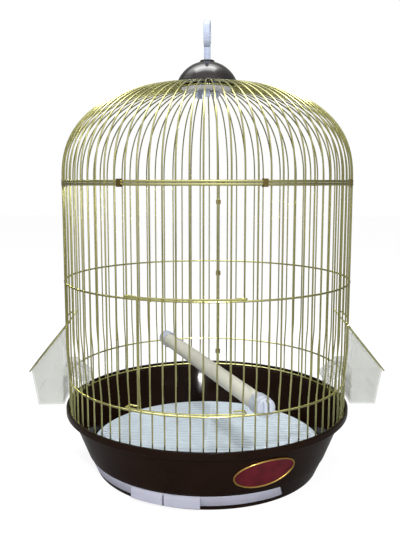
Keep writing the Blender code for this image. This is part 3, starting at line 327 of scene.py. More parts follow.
def join(piece, shape, operation="UNION"):
    """Fuses a shape onto a piece, or cuts it out, and keeps the result."""
    tool = place_in_scene("tool", shape.mesh("tool"))
    change = piece.modifiers.new("Join", "BOOLEAN")
    change.operation = operation
    change.solver = "EXACT"
    change.use_self = operation == "UNION"
    change.object = tool
    graph = bpy.context.evaluated_depsgraph_get()
    mesh = bpy.data.meshes.new_from_object(piece.evaluated_get(graph))
    piece.modifiers.clear()
    piece.data = mesh
    bpy.data.objects.remove(tool)
    smooth(piece)


def cut(piece, shape):
    join(piece, shape, "DIFFERENCE")


def soften(piece, width, segments=2, angle=35):
    """Rounds a piece's sharp edges."""
    bevel = piece.modifiers.new("Soft edges", "BEVEL")
    bevel.width = width
    bevel.segments = segments
    bevel.limit_method = "ANGLE"
    bevel.angle_limit = math.radians(angle)
    bevel.harden_normals = True


def seat(piece, body, slot, *nodes):
    """The piece rides a body and stands for its solids; slot is not used."""
    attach(piece, body)
    if nodes:
        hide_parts(*nodes)


# Finishes

class Value:
    """A socket of a finish, so that sums on it read as sums."""

    def __init__(self, finish, socket):
        self.finish = finish
        self.socket = socket

    def sum(self, operation, *values):
        return self.finish.node("Math", {"operation": operation}, dict(enumerate(values)))

    def __add__(self, other):
        return self.sum("ADD", self, other)

    def __sub__(self, other):
        return self.sum("SUBTRACT", self, other)

    def __mul__(self, other):
        return self.sum("MULTIPLY", self, other)

    def __rsub__(self, other):
        return self.sum("SUBTRACT", other, self)

    __radd__ = __add__
    __rmul__ = __mul__


class Finish:
    """A material drawn with nodes on one shader."""

    def __init__(self, name, colour, roughness, **sockets):
        self.material = bpy.data.materials.new(name)
        self.material.use_nodes = True
        self.tree = self.material.node_tree
        self.shader = self.tree.nodes["Principled BSDF"]
        self.place = None
        self.set(Base_Color=colour, Roughness=roughness, **sockets)

    def put(self, socket, value):
        if isinstance(value, Value):
            self.tree.links.new(value.socket, socket)
        elif isinstance(value, (list, tuple)) and len(value) == 3 and socket.type == "RGBA":
            socket.default_value = (*value, 1)
        else:
            socket.default_value = value

    def set(self, **sockets):
        """Sets the shader's sockets, their names written with underscores."""
        for name, value in sockets.items():
            self.put(self.shader.inputs[name.replace("_", " ")], value)

    def node(self, kind, settings=None, inputs=None, output=0):
        """Adds a node: first its settings, then the values or links of its sockets."""
        node = self.tree.nodes.new("ShaderNode" + kind)
        for name, value in (settings or {}).items():
            setattr(node, name, value)
        for name, value in (inputs or {}).items():
            self.put(node.inputs[name], value)
        return Value(self, node.outputs[output])

    def spot(self):
        """Place on the piece, in metres."""
        if not self.place:
            self.place = self.node("TexCoord", output="Object")
        return self.place

    def noise(self, scale, detail=2, stretch=None):
        """Soft blotches; scale is their count to a metre."""
        place = self.spot()
        if stretch:
            place = self.node("Mapping", None, {"Vector": place, "Scale": stretch})
        return self.node("TexNoise", None, {"Vector": place, "Scale": scale, "Detail": detail})

    def range(self, value, low, high):
        """Leads a value that goes from low to high softly from 0 to 1."""
        inputs = {"Value": value, "From Min": low, "From Max": high}
        return self.node("MapRange", {"interpolation_type": "SMOOTHSTEP"}, inputs)

    def mix(self, share, first, second):
        settings = {"data_type": "RGBA"}
        return self.node("Mix", settings, {"Factor": share, 6: first, 7: second}, 2)

    def bump(self, height, distance, strength):
        inputs = {"Height": height, "Distance": distance, "Strength": strength}
        self.set(Normal=self.node("Bump", None, inputs))


def plated_wire(name, bright, dull, rough):
    """Plated metal: bright, with duller and rougher patches and faint drawing marks."""
    added_rough = 0.12
    along_wire = (1, 1, 0.08)
    finish = Finish(name, bright, rough, Metallic=1.0)
    patches = finish.range(finish.noise(24), 0.42, 0.7)
    finish.set(Base_Color=finish.mix(patches, bright, dull))
    finish.set(Roughness=patches * added_rough + rough)
    finish.bump(finish.noise(420, 1, along_wire), 0.02 * MM, 0.12)
    return finish


def moulded(name, colour, rough, tint=None, grain_depth=0.02 * MM, **sockets):
    """Moulded plastic: slight clouding, a fine grain and a worn sheen."""
    added_rough = 0.07
    tint_share = 0.9
    finish = Finish(name, colour, rough, **sockets)
    clouds = finish.range(finish.noise(28, 3), 0.35, 0.7)
    tint = tint or tuple(tint_share * part for part in colour)
    finish.set(Base_Color=finish.mix(clouds, colour, tint))
    finish.set(Roughness=clouds * added_rough + rough)
    finish.bump(finish.noise(1400), grain_depth, 0.5)
    return finish


def clear_plastic():
    """Clear moulding, a little clouded, with fine scuffs."""
    rough = 0.07
    added_rough = 0.16
    finish = Finish("clear_plastic", (0.7, 0.725, 0.68), rough,
                    Transmission_Weight=0.45, IOR=1.46, Alpha=0.42)
    scuffs = finish.range(finish.noise(260, 4), 0.5, 0.75)
    finish.set(Roughness=scuffs * added_rough + rough)
    finish.bump(finish.noise(120), 0.05 * MM, 0.4)
    return finish


def badge_enamel():
    """Deep red enamel, a little uneven."""
    bright, dull = (0.095, 0.007, 0.013), (0.06, 0.005, 0.009)
    finish = Finish("badge_red", bright, 0.4, Specular_IOR_Level=0.15)
    clouds = finish.range(finish.noise(90, 3), 0.35, 0.7)
    finish.set(Base_Color=finish.mix(clouds, bright, dull))
    finish.bump(finish.noise(500), 0.03 * MM, 0.4)
    return finish


gold = plated_wire("gold_wire", (0.72, 0.7, 0.32), (0.6, 0.58, 0.25), 0.2)
clip_gold = plated_wire("clip_gold", (0.34, 0.26, 0.09), (0.2, 0.14, 0.05), 0.34)
badge_gold = plated_wire("badge_gold", (0.75, 0.5, 0.13), (0.62, 0.4, 0.09), 0.36)
brown = moulded("tray_brown", (0.0105, 0.0048, 0.003), 0.07, tint=(0.0085, 0.0039, 0.0024),
                Specular_IOR_Level=0.08)
cap_brown = moulded("cap_brown", (0.014, 0.012, 0.011), 0.17, Specular_IOR_Level=0.45)
grille_white = moulded("grille_white", (0.66, 0.75, 0.84), 0.34)
drawer_white = moulded("drawer_white", (0.39, 0.395, 0.48), 0.38)
hook_white = moulded("hook_white", (0.4, 0.45, 0.58), 0.42, grain_depth=0.003 * MM,
                     Specular_IOR_Level=0.3)
cup_grey = moulded("cup_grey", (0.5, 0.5, 0.5), 0.35)
ivory = moulded("perch_ivory", (0.56, 0.555, 0.48), 0.42)
clip_white = moulded("perch_clip_white", (0.45, 0.49, 0.58), 0.32)
clear = clear_plastic()
badge_red = badge_enamel()


# Wire wall

BEND_HEIGHTS = spread(LOWER_RING_HEIGHT, TAPER_TOP_HEIGHT, 5)


def add_bar(shape, azimuth, low, high):
    heights = [low] + [height for height in BEND_HEIGHTS if low < height < high] + [high]
    shape.wire([polar_point(wall_radius(height), azimuth, height) for height in heights], BAR)


def open_bars():
    """Bars that stop at an opening, with the heights between which they are missing."""
    gaps = {}
    for index in range(DOOR_FIRST_BAR + 1, DOOR_LAST_BAR):
        gaps[index % BAR_COUNT] = (LOWER_RING_HEIGHT, MID_RING_HEIGHT)
    for first, last in FEEDER_BARS.values():
        for index in range(first + 1, last):
            gaps[index % BAR_COUNT] = (LOWER_RING_HEIGHT, FEEDER_WINDOW_HEIGHT)
    return gaps


def build_wall():
    """Upright bars welded inside four level rings, closed by a seam at the back."""
    bars = Shape()
    foot = BASE_RING_HEIGHT - RING
    top = WALL_TOP_HEIGHT + JOINT_RING
    gaps = open_bars()
    for index in range(BAR_COUNT):
        if index == SEAM_BAR:
            continue
        azimuth = bar_azimuth(index)
        if index in gaps:
            below, above = gaps[index]
            add_bar(bars, azimuth, foot, below + RING)
            add_bar(bars, azimuth, above - RING, top)
        else:
            add_bar(bars, azimuth, foot, top)
    shift = SEAM_HALF_GAP / WALL_FOOT_RADIUS
    seam = bar_azimuth(SEAM_BAR)
    for side in (-1, 1):
        add_bar(bars, seam + side * shift, foot, top)
    rings = (
        (BASE_RING_HEIGHT, WALL_FOOT_RADIUS, RING),
        (LOWER_RING_HEIGHT, WALL_FOOT_RADIUS + RING_OUTSET, RING),
        (MID_RING_HEIGHT, WALL_RADIUS + RING_OUTSET, RING),
        (WALL_TOP_HEIGHT, WALL_RADIUS, JOINT_RING),
    )
    for height, radius, wire in rings:
        path = arc(radius, height, seam + shift, seam - shift + 2 * math.pi, HOOP_STEPS)
        bars.wire(path, wire)
    for bar_pair in FEEDER_BARS.values():
        ends = [bar_azimuth(index) for index in bar_pair]
        bars.wire(arc(WALL_RADIUS, FEEDER_WINDOW_HEIGHT, *ends, 12), BAR)
    names = ["front_right", "right_front", "right_back", "back_right"]
    names += ["back_left", "left_back", "left_front", "front_left"]
    for place in ("door", "right_feeder", "left_feeder"):
        names += ["over_" + place, "under_" + place]
    wall = make("wall_panel", bars, gold)
    seat(wall, "cage", "gold_wire", *["wall_" + name for name in names])


def hub_ring_foot():
    """Height of the hub ring's underside, which stays clear of the sloping bars."""
    return dome_height(HUB_RING_RADIUS + BAR) - 4 * BAR - CLEARANCE


def build_dome():
    """Bars bent inward from their own foot ring to the hub, and the ring under their ends."""
    steps = 22
    crowding = 1.15
    shape = Shape()
    last = dome_turn(HUB_RADIUS)
    for index in range(BAR_COUNT):
        azimuth = bar_azimuth(index)
        path = [polar_point(WALL_RADIUS, azimuth, DOME_FOOT_HEIGHT - JOINT_RING)]
        for share in spread(0, 1, steps):
            radius, height = dome_point(last * share ** crowding)
            path.append(polar_point(radius, azimuth, height))
        shape.wire(path, BAR)
    shape.hoop(WALL_RADIUS, DOME_FOOT_HEIGHT, JOINT_RING)
    names = ["front", "front_right", "right_front", "right", "right_back", "back_right"]
    names += ["back", "back_left", "left_back", "left", "left_front", "front_left"]
    dome = make("wire_dome", shape, gold)
    seat(dome, "cage", "gold_wire", *["dome_" + name for name in names])
    ring = Shape()
    ring.hoop(HUB_RING_RADIUS, hub_ring_foot() + BAR, BAR, steps=72, sides=10)
    seat(make("hub_ring", ring, gold), "cage", "gold_wire", "dome_hub_ring")


def finish_clips():
    """The folded sheet clips keep their solids, with rounded folds."""
    fold = 0.35 * MM
    for kind, count in (("dome_clip_", 7), ("seam_clip_", 3)):
        for index in range(count):
            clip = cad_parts[kind + str(index + 1)]
            clip.data.materials.clear()
            clip.data.materials.append(clip_gold.material)
            soften(clip, fold, 3)


def hook_path(guide, sign, height, reach):
    """A door wire's way round a guide bar and back behind it."""
    side_pass = 2.15 * MM
    tail = 8 * MM
    bend = 1.7 * MM
    stops = [(-side_pass, DOOR_STANDOFF), (side_pass, DOOR_STANDOFF),
             (side_pass, -reach), (-tail, -reach)]
    base = polar_point(WALL_RADIUS, guide, height)
    points = [base + sideways(guide) * (sign * side) + outward(guide) * out
              for side, out in stops]
    return eased(points, bend, 5)


def build_door():
    """A net of bars that slides up on the two bars beside it."""
    radius = WALL_RADIUS + DOOR_STANDOFF
    foot = LOWER_RING_HEIGHT + 3.95 * MM
    top = MID_RING_HEIGHT + 2.35 * MM
    foot_reach = DOOR_STANDOFF + 4 * MM
    overlap = 0.3 * MM
    bend_room = 0.6 * PITCH
    shape = Shape()
    for index in range(DOOR_FIRST_BAR, DOOR_LAST_BAR + 1):
        azimuth = bar_azimuth(index)
        ends = (foot - overlap, top + overlap)
        shape.wire([polar_point(radius, azimuth, height) for height in ends], DOOR_WIRE)
    first, last = bar_azimuth(DOOR_FIRST_BAR - 1), bar_azimuth(DOOR_LAST_BAR + 1)
    for height, reach in ((foot, foot_reach), (top, DOOR_STANDOFF)):
        start = hook_path(first, -1, height, reach)[::-1]
        end = hook_path(last, 1, height, reach)
        middle = arc(radius, height, first + bend_room, last - bend_room, 24)
        shape.wire(start + middle + end, DOOR_WIRE)
    seat(make("sliding_door", shape, gold), "door", "gold_wire", "guillotine_door")


# Feeders and flaps

FEEDER_AZIMUTHS = {side: (first + last + 1) / 2 * PITCH
                   for side, (first, last) in FEEDER_BARS.items()}
SHEET = 1.6 * MM
FEEDER_TOP = 118.7 * MM
FEEDER_FOOT = 77.8 * MM
FEEDER_TIP = 205.7 * MM
FEEDER_TOE = 198.8 * MM
FEEDER_BACK = 169.2 * MM
SADDLE = 158.7 * MM
LIP = 140.0 * MM
LIP_HEIGHT = 102.0 * MM
FEEDER_HALF_WIDTH = WALL_RADIUS * math.sin(2 * PITCH) - 2.85 * MM
TROUGH_HALF_WIDTH = FEEDER_HALF_WIDTH - SHEET / 2
FLAP_HINGE_HEIGHT = 175.4 * MM
FLAP_HINGE_RADIUS = WALL_RADIUS * math.cos(3 * PITCH)
FLAP_LIFT = 1.15 * MM


def flap_fall():
    """How far out and down the trough's tip lies from the flap's hinge."""
    return FEEDER_TIP - FLAP_HINGE_RADIUS, FLAP_HINGE_HEIGHT - FEEDER_TOP


def flap_lean():
    out, down = flap_fall()
    return math.atan2(out, down) + math.asin(FLAP_LIFT / math.hypot(out, down))


def side_plate(shape, outline, start, width):
    """A plate across a feeder from its outline of radius and height."""
    shape.prism([Vector((start, -radius, height)) for radius, height in outline], ACROSS * width)


def feeder_trough():
    outline = [
        (FEEDER_TIP, FEEDER_TOP), (FEEDER_TOE, FEEDER_FOOT), (FEEDER_BACK, FEEDER_FOOT),
        (FEEDER_BACK, FEEDER_TOP - SHEET), (SADDLE, FEEDER_TOP - SHEET),
        (LIP, LIP_HEIGHT - SHEET), (LIP, LIP_HEIGHT), (SADDLE, FEEDER_TOP),
        (FEEDER_BACK + SHEET, FEEDER_TOP), (FEEDER_BACK + SHEET, FEEDER_FOOT + SHEET),
        (FEEDER_TOE - SHEET, FEEDER_FOOT + SHEET), (FEEDER_TIP - SHEET, FEEDER_TOP),
    ]
    shape = Shape()
    side_plate(shape, outline, -TROUGH_HALF_WIDTH, 2 * TROUGH_HALF_WIDTH)
    return shape


def feeder_ends():
    """The two ends, whose tops follow the closed flap."""
    wing_top = FEEDER_TOP + (FEEDER_TIP - FEEDER_BACK) / math.tan(flap_lean())
    rib = 4 * MM
    step = 112.3 * MM
    outline = [
        (FEEDER_BACK, FEEDER_FOOT), (FEEDER_TOE, FEEDER_FOOT), (FEEDER_TIP, FEEDER_TOP),
        (FEEDER_BACK, wing_top), (FEEDER_BACK, FEEDER_TOP + rib), (SADDLE, FEEDER_TOP + rib),
        (LIP, LIP_HEIGHT + rib), (LIP, LIP_HEIGHT - SHEET), (SADDLE, step), (FEEDER_BACK, step),
    ]
    shape = Shape()
    for start in (-FEEDER_HALF_WIDTH, FEEDER_HALF_WIDTH - SHEET):
        side_plate(shape, outline, start, SHEET)
    return shape


def feeder_ribs():
    """An upright and a level rib on each end, and two ledges along the trough."""
    upright = [(174.5, 121), (176, 121), (176, 150), (174.5, 151)]
    level = [(170, 118), (204, 118), (204.3, 119.4), (170, 119.4)]
    thick = 1 * MM
    middle = FEEDER_HALF_WIDTH + 0.25 * MM
    ledge_low, ledge_high = 95 * MM, 96.4 * MM
    back_ledge = (FEEDER_BACK + 0.8 * MM, FEEDER_BACK + 4.2 * MM)
    front_ledge = (196.5 * MM, 201 * MM)
    shape = Shape()
    for sign in (-1, 1):
        for outline in (upright, level):
            side_plate(shape, millimetres(outline), sign * middle - thick / 2, thick)
    for near, far in (back_ledge, front_ledge):
        outline = rectangle((near, ledge_low), (far, ledge_high))
        side_plate(shape, outline, -TROUGH_HALF_WIDTH, 2 * TROUGH_HALF_WIDTH)
    return shape


def build_feeders():
    for side, azimuth in FEEDER_AZIMUTHS.items():
        feeder = make("feeder_" + side, feeder_trough(), clear)
        join(feeder, feeder_ends())
        join(feeder, feeder_ribs())
        feeder.data.transform(Matrix.Rotation(azimuth, 4, "Z"))
        soften(feeder, 0.3 * MM)
        seat(feeder, "cage", "clear_plastic", "seed_feeder_" + side)


def flap_eye(sign, corner, down):
    """The end of a flap's top wire, from the net's corner round a bar of the wall."""
    curl_radius = 4.2 * MM
    middle = WALL_RADIUS * math.sin(3 * PITCH)
    curl = []
    for degrees in spread(60, 360, 20):
        turn = math.radians(degrees)
        across = ACROSS * (sign * (middle - curl_radius * math.cos(turn)))
        curl.append(across + down * (curl_radius * math.sin(turn)))
    return eased([corner, *curl], 0.6 * MM, 1)


def flap_net():
    """A net of five wires down and six across, hung from the middle of its hinge."""
    lean = flap_lean()
    down = Vector((0, -math.sin(lean), -math.cos(lean)))
    half_span = ACROSS * (WALL_RADIUS * math.sin(2 * PITCH))
    neck = 8.2 * MM
    reach = math.hypot(*flap_fall()) + 0.15 * MM
    overlap = 0.4 * MM
    shape = Shape()
    for share in spread(-1, 1, 4):
        start = half_span * share
        shape.wire([start + down * (neck - overlap), start + down * (reach + overlap)], FLAP_WIRE)
    top, *rows = [down * at for at in spread(neck, reach, 5)]
    left_eye = flap_eye(-1, top - half_span, down)
    right_eye = flap_eye(1, top + half_span, down)
    shape.wire(left_eye[::-1] + right_eye, FLAP_WIRE)
    for row in rows:
        shape.wire([row - half_span, row + half_span], FLAP_WIRE)
    return shape


def build_flaps():
    for side, azimuth in FEEDER_AZIMUTHS.items():
        flap = make("flap_" + side, flap_net(), gold)
        place = Matrix.Translation(polar_point(FLAP_HINGE_RADIUS, azimuth, FLAP_HINGE_HEIGHT))
        flap.data.transform(place @ Matrix.Rotation(azimuth, 4, "Z"))
        seat(flap, "flap_" + side, "gold_wire", "feeder_flap_" + side)


# Perch

PERCH_AZIMUTH = bar_azimuth(5)
PERCH_HEIGHT = LOWER_RING_HEIGHT + 4.2 * MM
PERCH_RADIUS = 9.2 * MM
COLLAR_RADIUS = 10.75 * MM
RING_INSIDE = (WALL_FOOT_RADIUS - BAR) * math.cos(PITCH / 2)
CLIP_FACE = math.sqrt(RING_INSIDE ** 2 - COLLAR_RADIUS ** 2) - CLEARANCE
PERCH_END = CLIP_FACE - 4.3 * MM


def perch_axis(turn=0):
    """Lays a turned body along the perch, turned about the cage's middle."""
    place = Matrix.Translation(UP * PERCH_HEIGHT) @ Matrix.Rotation(PERCH_AZIMUTH + turn, 4, "Z")
    return place @ Matrix.Rotation(math.pi / 2, 4, "X")


def build_perch_rod():
    chamfer = PERCH_RADIUS - 1 * MM
    side = [(chamfer, -PERCH_END), (PERCH_RADIUS, -PERCH_END), (PERCH_RADIUS, 0),
            (PERCH_RADIUS, PERCH_END), (chamfer, PERCH_END)]
    profile = [(0, -PERCH_END), *eased(side, 0.8 * MM, 3), (0, PERCH_END)]
    rod = Shape()
    rod.turned(profile, sides=48, place=perch_axis())
    seat(make("perch_rod_piece", rod, ivory), "cage", "perch_plastic", "perch_rod")


def perch_sleeve(turn):
    """A cap over the perch's end, with a collar toward the middle."""
    bore = PERCH_RADIUS + CLEARANCE
    bottom = PERCH_END + CLEARANCE
    mouth = CLIP_FACE - 20 * MM
    neck = COLLAR_RADIUS - 0.7 * MM
    corners = [(bore, bottom), (bore, mouth), (COLLAR_RADIUS, mouth),
               (COLLAR_RADIUS, CLIP_FACE - 7 * MM), (neck, CLIP_FACE - 6 * MM),
               (neck, CLIP_FACE), (0, CLIP_FACE)]
    easings = [easing * MM for easing in (0, 0.5, 1.2, 1, 0.8, 1.5, 0)]
    shape = Shape()
    profile = [(0, bottom), *eased(corners, easings, 3)]
    shape.turned(profile, sides=48, place=perch_axis(turn))
    return shape


def perch_tines(turn):
    """Two tines that stand on the lower ring, either side of a bar."""
    back = CLIP_FACE - 5 * MM
    front = CLIP_FACE + 4.5 * MM
    low = PERCH_HEIGHT - 6 * MM
    high = PERCH_HEIGHT + 8.8 * MM
    seat_height = LOWER_RING_HEIGHT + 1.5 * MM
    corners = [(back, low), (CLIP_FACE - 0.2 * MM, low), (CLIP_FACE + 0.1 * MM, seat_height),
               (front, seat_height), (front, PERCH_HEIGHT + 6 * MM), (CLIP_FACE + 1 * MM, high),
               (back, high)]
    easings = [easing * MM for easing in (0, 0.5, 0.3, 0.8, 4, 4, 0)]
    outline = eased(corners, easings, 5, closed=True)
    width, half_gap = 3 * MM, 1.3 * MM
    place = Matrix.Rotation(PERCH_AZIMUTH + turn, 4, "Z")
    shape = Shape()
    for edge in (-half_gap - width, half_gap):
        points = [place @ Vector((edge, -radius, height)) for radius, height in outline]
        shape.prism(points, place.to_3x3() @ (ACROSS * width))
    return shape


def build_perch_clips():
    for side, turn in (("front", 0), ("back", math.pi)):
        clip = make("perch_end_" + side, perch_sleeve(turn), clip_white)
        join(clip, perch_tines(turn))
        soften(clip, 0.45 * MM, 3, MOULDED_ANGLE)
        seat(clip, "cage", "perch_clip_plastic", "perch_clip_" + side)


# Cap, cup and hook

CAP_RADIUS = 35.0 * MM
CAP_RISE = 25.0 * MM
CAP_BALL = (CAP_RADIUS ** 2 + CAP_RISE ** 2) / (2 * CAP_RISE)
CROWN_RADIUS = 8.75 * MM
CROWN_RISE = 2.4 * MM
CROWN_TURN = math.acos(CROWN_RADIUS / CAP_BALL)
FLANGE_RADIUS = 12.6 * MM
FLANGE_THICK = 2.2 * MM
STRAP_HALF_WIDTH = 3.65 * MM
STRAP_HALF_THICK = 2.3 * MM
HOOK_RADIUS = 15 * MM - STRAP_HALF_THICK


def cap_foot():
    return dome_height(CAP_RADIUS - 2 * MM) + 1.15 * MM


def cap_middle():
    """Height of the middle of the ball that the cap is cut from."""
    return cap_foot() + CAP_RISE - CAP_BALL


def cap_top():
    return cap_middle() + CAP_BALL * math.sin(CROWN_TURN) + CROWN_RISE


def ball_arc(radius, end, steps):
    """Radius and height along a ball's outside, from the cap's foot up to a turn."""
    start = math.asin((cap_foot() - cap_middle()) / radius)
    return [(radius * math.cos(turn), cap_middle() + radius * math.sin(turn))
            for turn in spread(start, end, steps)]


def build_cap():
    """A thin ball cap with a beaded rim and a low crown cut by two notches."""
    foot = cap_foot()
    top = cap_top()
    bore = 3.6 * MM
    inside = CAP_BALL - 2 * MM
    outer = ball_arc(CAP_BALL, CROWN_TURN, 24)
    inner = ball_arc(inside, math.acos(bore / inside), 16)[::-1]
    bead = millimetres([(-0.6, 0), (0, 0.25), (0.15, 1), (-0.1, 1.7)])
    rim = [(CAP_RADIUS + out, foot + up) for out, up in bead]
    behind_rim = 3
    crown = [outer[-1], (CROWN_RADIUS - 0.7 * MM, top), (bore, top), inner[0]]
    crown = eased(crown, (0, 1.2 * MM, 0.4 * MM, 0), 4)
    shape = Shape()
    shape.turned(rim + outer[behind_rim:-1] + crown + inner[1:], sides=128)
    cap = make("dome_cap", shape, cap_brown)
    notch_half_width = 2.6 * MM
    notch_near, notch_far = 6.15 * MM, 10.8 * MM
    low, high = top - 3 * MM, top + 2 * MM
    notches = Shape()
    for near, far in ((notch_near, notch_far), (-notch_far, -notch_near)):
        notches.box((-notch_half_width, near, low), (notch_half_width, far, high))
    cut(cap, notches)
    soften(cap, 0.25 * MM, 2, MOULDED_ANGLE)
    seat(cap, "cage", "cap_plastic", "top_cap")


def cup_floor():
    return hub_ring_foot() - 3.7 * MM


def build_cup():
    """A shallow dish that holds the bars' ends, with a hole for the hook's prongs."""
    low = cup_floor()
    high = low + 3.4 * MM
    inside = low + 1.6 * MM
    hole = 12.9 * MM
    radius = HUB_RING_RADIUS
    corners = [(hole, low), (radius - 4 * MM, low), (radius, high - 0.8 * MM), (radius, high),
               (radius - 1.6 * MM, high), (radius - 5.6 * MM, inside), (hole, inside)]
    easings = [easing * MM for easing in (0.3, 1.5, 0.3, 0.3, 0.3, 1.2, 0.3)]
    shape = Shape()
    shape.turned(eased(corners, easings, 4, closed=True))
    seat(make("hub_cup_piece", shape, cup_grey), "cage", "cup_plastic", "hub_cup")


def hook_middle():
    return cap_top() + 28.9 * MM


def flange_height():
    """Height of the top of the flange, which turns under the cap."""
    return cap_foot() + CAP_RISE - 5 * MM


def hook_strap():
    """A flat strap bent to an open ring."""
    path = []
    for degrees in spread(-9, 305, 56):
        turn = math.radians(degrees)
        height = hook_middle() - HOOK_RADIUS * math.cos(turn)
        path.append(Vector((0, -HOOK_RADIUS * math.sin(turn), height)))
    shape = Shape()
    section = strap_section(STRAP_HALF_WIDTH, STRAP_HALF_THICK, 0.9 * MM)
    shape.sweep(path, section, ACROSS, tip=1.2 * MM)
    return shape


def hook_stem():
    """A round stem with the flange at its foot."""
    radius = 3.3 * MM
    top = hook_middle() - HOOK_RADIUS + 0.5 * MM
    flange_top = flange_height()
    flange_low = flange_top - FLANGE_THICK
    corners = [(radius, top), (radius, flange_top), (FLANGE_RADIUS, flange_top),
               (FLANGE_RADIUS, flange_low), (0, flange_low)]
    easings = [easing * MM for easing in (0, 0.8, 0.6, 0.6, 0)]
    shape = Shape()
    shape.turned([(0, top), *eased(corners, easings, 3)], sides=48)
    return shape


def hook_shank():
    """A flat shank over the cap, which runs up into the ring."""
    outline = strap_section(STRAP_HALF_WIDTH, 2.9 * MM, 1.1 * MM)
    foot = cap_top() + 0.6 * MM
    shape = Shape()
    shape.prism([Vector((x, y, foot)) for x, y in outline], UP * (15.6 * MM))
    return shape


def hook_prongs():
    """Three prongs that snap in under the cup."""
    half_width = 4 * MM
    top = flange_height() - FLANGE_THICK + 0.8 * MM
    outer = math.sqrt(FLANGE_RADIUS ** 2 - half_width ** 2) - CLEARANCE
    inner = outer - 2.2 * MM
    barb = outer + 2 * MM
    barb_low, barb_high = cup_floor() - 4.8 * MM, cup_floor() - CLEARANCE
    tip = cup_floor() - 7.5 * MM
    outline = [(inner, top), (inner, tip), (outer, tip), (barb, barb_low), (barb, barb_high),
               (outer, barb_high), (outer, top)]
    shape = Shape()
    for turn in full_turn(3):
        place = Matrix.Rotation(turn, 4, "Z")
        points = [place @ Vector((-half_width, -reach, height)) for reach, height in outline]
        shape.prism(points, place.to_3x3() @ (ACROSS * (2 * half_width)))
    return shape


def build_hook():
    hook = make("hook", hook_strap(), hook_white)
    join(hook, hook_stem())
    join(hook, hook_shank())
    join(hook, hook_prongs())
    soften(hook, 0.4 * MM, 3, MOULDED_ANGLE)
    seat(hook, "hook", "hook_plastic", "hanging_hook")


# Base

def tray_bowl():
    """The dished base with its rim, ledge and shelf, turned."""
    step = 0.7 * MM
    foot_wall = tray_radius(TRAY_FLOOR) - TRAY_WALL
    knee_wall = TRAY_KNEE_RADIUS - TRAY_WALL
    upper_wall = TRAY_FLARE_RADIUS - TRAY_WALL
    shelf_wall = tray_radius(SHELF_HEIGHT) - TRAY_WALL
    shelf_edge = shelf_wall - 5.5 * MM
    knee_outside = (TRAY_KNEE_RADIUS - 0.2 * MM, TRAY_KNEE_HEIGHT - 0.4 * MM)
    corners = [
        (0, 0), (TRAY_FOOT_RADIUS, 0), knee_outside, (TRAY_KNEE_RADIUS + step, TRAY_KNEE_HEIGHT),
        (TRAY_FLARE_RADIUS, RIM_UNDERSIDE), (RIM_OUTER_RADIUS, RIM_UNDERSIDE),
        (RIM_OUTER_RADIUS, TRAY_TOP), (RIM_INNER_RADIUS, TRAY_TOP),
        (RIM_INNER_RADIUS, LEDGE_HEIGHT), (upper_wall, LEDGE_HEIGHT),
        (knee_wall, TRAY_KNEE_HEIGHT), (shelf_wall, SHELF_HEIGHT),
        (shelf_edge, SHELF_HEIGHT), (shelf_edge, SHELF_FOOT),
        (tray_radius(SHELF_FOOT) - TRAY_WALL, SHELF_FOOT), (foot_wall, TRAY_FLOOR),
        (0, TRAY_FLOOR),
    ]
    easings = (0, 0.8, 0.3, 0.6, 1.6, 1.6, 1.3, 1.0, 0.3, 1.0, 0.4, 0.2, 0.5, 0.5, 0.3, 1.5, 0)
    shape = Shape()
    shape.turned(eased(corners, [easing * MM for easing in easings]), sides=192)
    return shape


def tray_fittings():
    """Six lugs inside the cage's foot, the drawer's side rails and its two runners."""
    lug_half_width = 4 * MM
    lug_low, lug_high = 70.2 * MM, 73.4 * MM
    lug_depth = 2.2 * MM
    lug_outer = WALL_FOOT_RADIUS - 1.3 * MM
    shape = Shape()
    for index in range(6):
        place = Matrix.Rotation(math.radians(33 + 60 * index), 4, "Z")
        shape.box((-lug_half_width, -lug_outer, lug_low),
                  (lug_half_width, lug_depth - lug_outer, lug_high), place)
    turn = Matrix.Rotation(DRAWER_AZIMUTH, 4, "Z")
    rail_outer = SLOT_HALF_WIDTH + 2 * MM
    reach = math.sqrt((TRAY_FOOT_RADIUS - TRAY_WALL) ** 2 - rail_outer ** 2) - TRAY_WALL
    foot, rail_top, runner_top = 2 * MM, 10.8 * MM, 4.7 * MM
    runner = 1.5 * MM
    for near, far in ((SLOT_HALF_WIDTH, rail_outer), (-rail_outer, -SLOT_HALF_WIDTH)):
        shape.box((near, -reach, foot), (far, reach, rail_top), turn)
    for middle in (-SLOT_HALF_WIDTH / 2, SLOT_HALF_WIDTH / 2):
        shape.box((middle - runner, -reach, foot), (middle + runner, reach, runner_top), turn)
    return shape


def drawer_slot():
    slot_back = -44 * MM
    shape = Shape()
    shape.box((-SLOT_HALF_WIDTH, -RIM_OUTER_RADIUS, SLOT_SILL),
              (SLOT_HALF_WIDTH, slot_back, SLOT_TOP), Matrix.Rotation(DRAWER_AZIMUTH, 4, "Z"))
    return shape


def build_tray():
    tray = make("tray", tray_bowl(), brown)
    join(tray, tray_fittings())
    cut(tray, drawer_slot())
    soften(tray, 0.3 * MM, 2, MOULDED_ANGLE)
    seat(tray, "base", "brown_plastic", "base_tray")


DRAWER_LOW = SLOT_SILL + CLEARANCE
DRAWER_HIGH = SLOT_TOP - 0.4 * MM


def drawer_outline(half_width, front, back, height):
    """A loop with curved front and back, and straight sides between them."""
    points = []
    for radius, facing in ((front, 0), (back, math.pi)):
        sweep = math.asin(half_width / radius)
        points += arc(radius, height, facing - sweep, facing + sweep, 48)
    return points


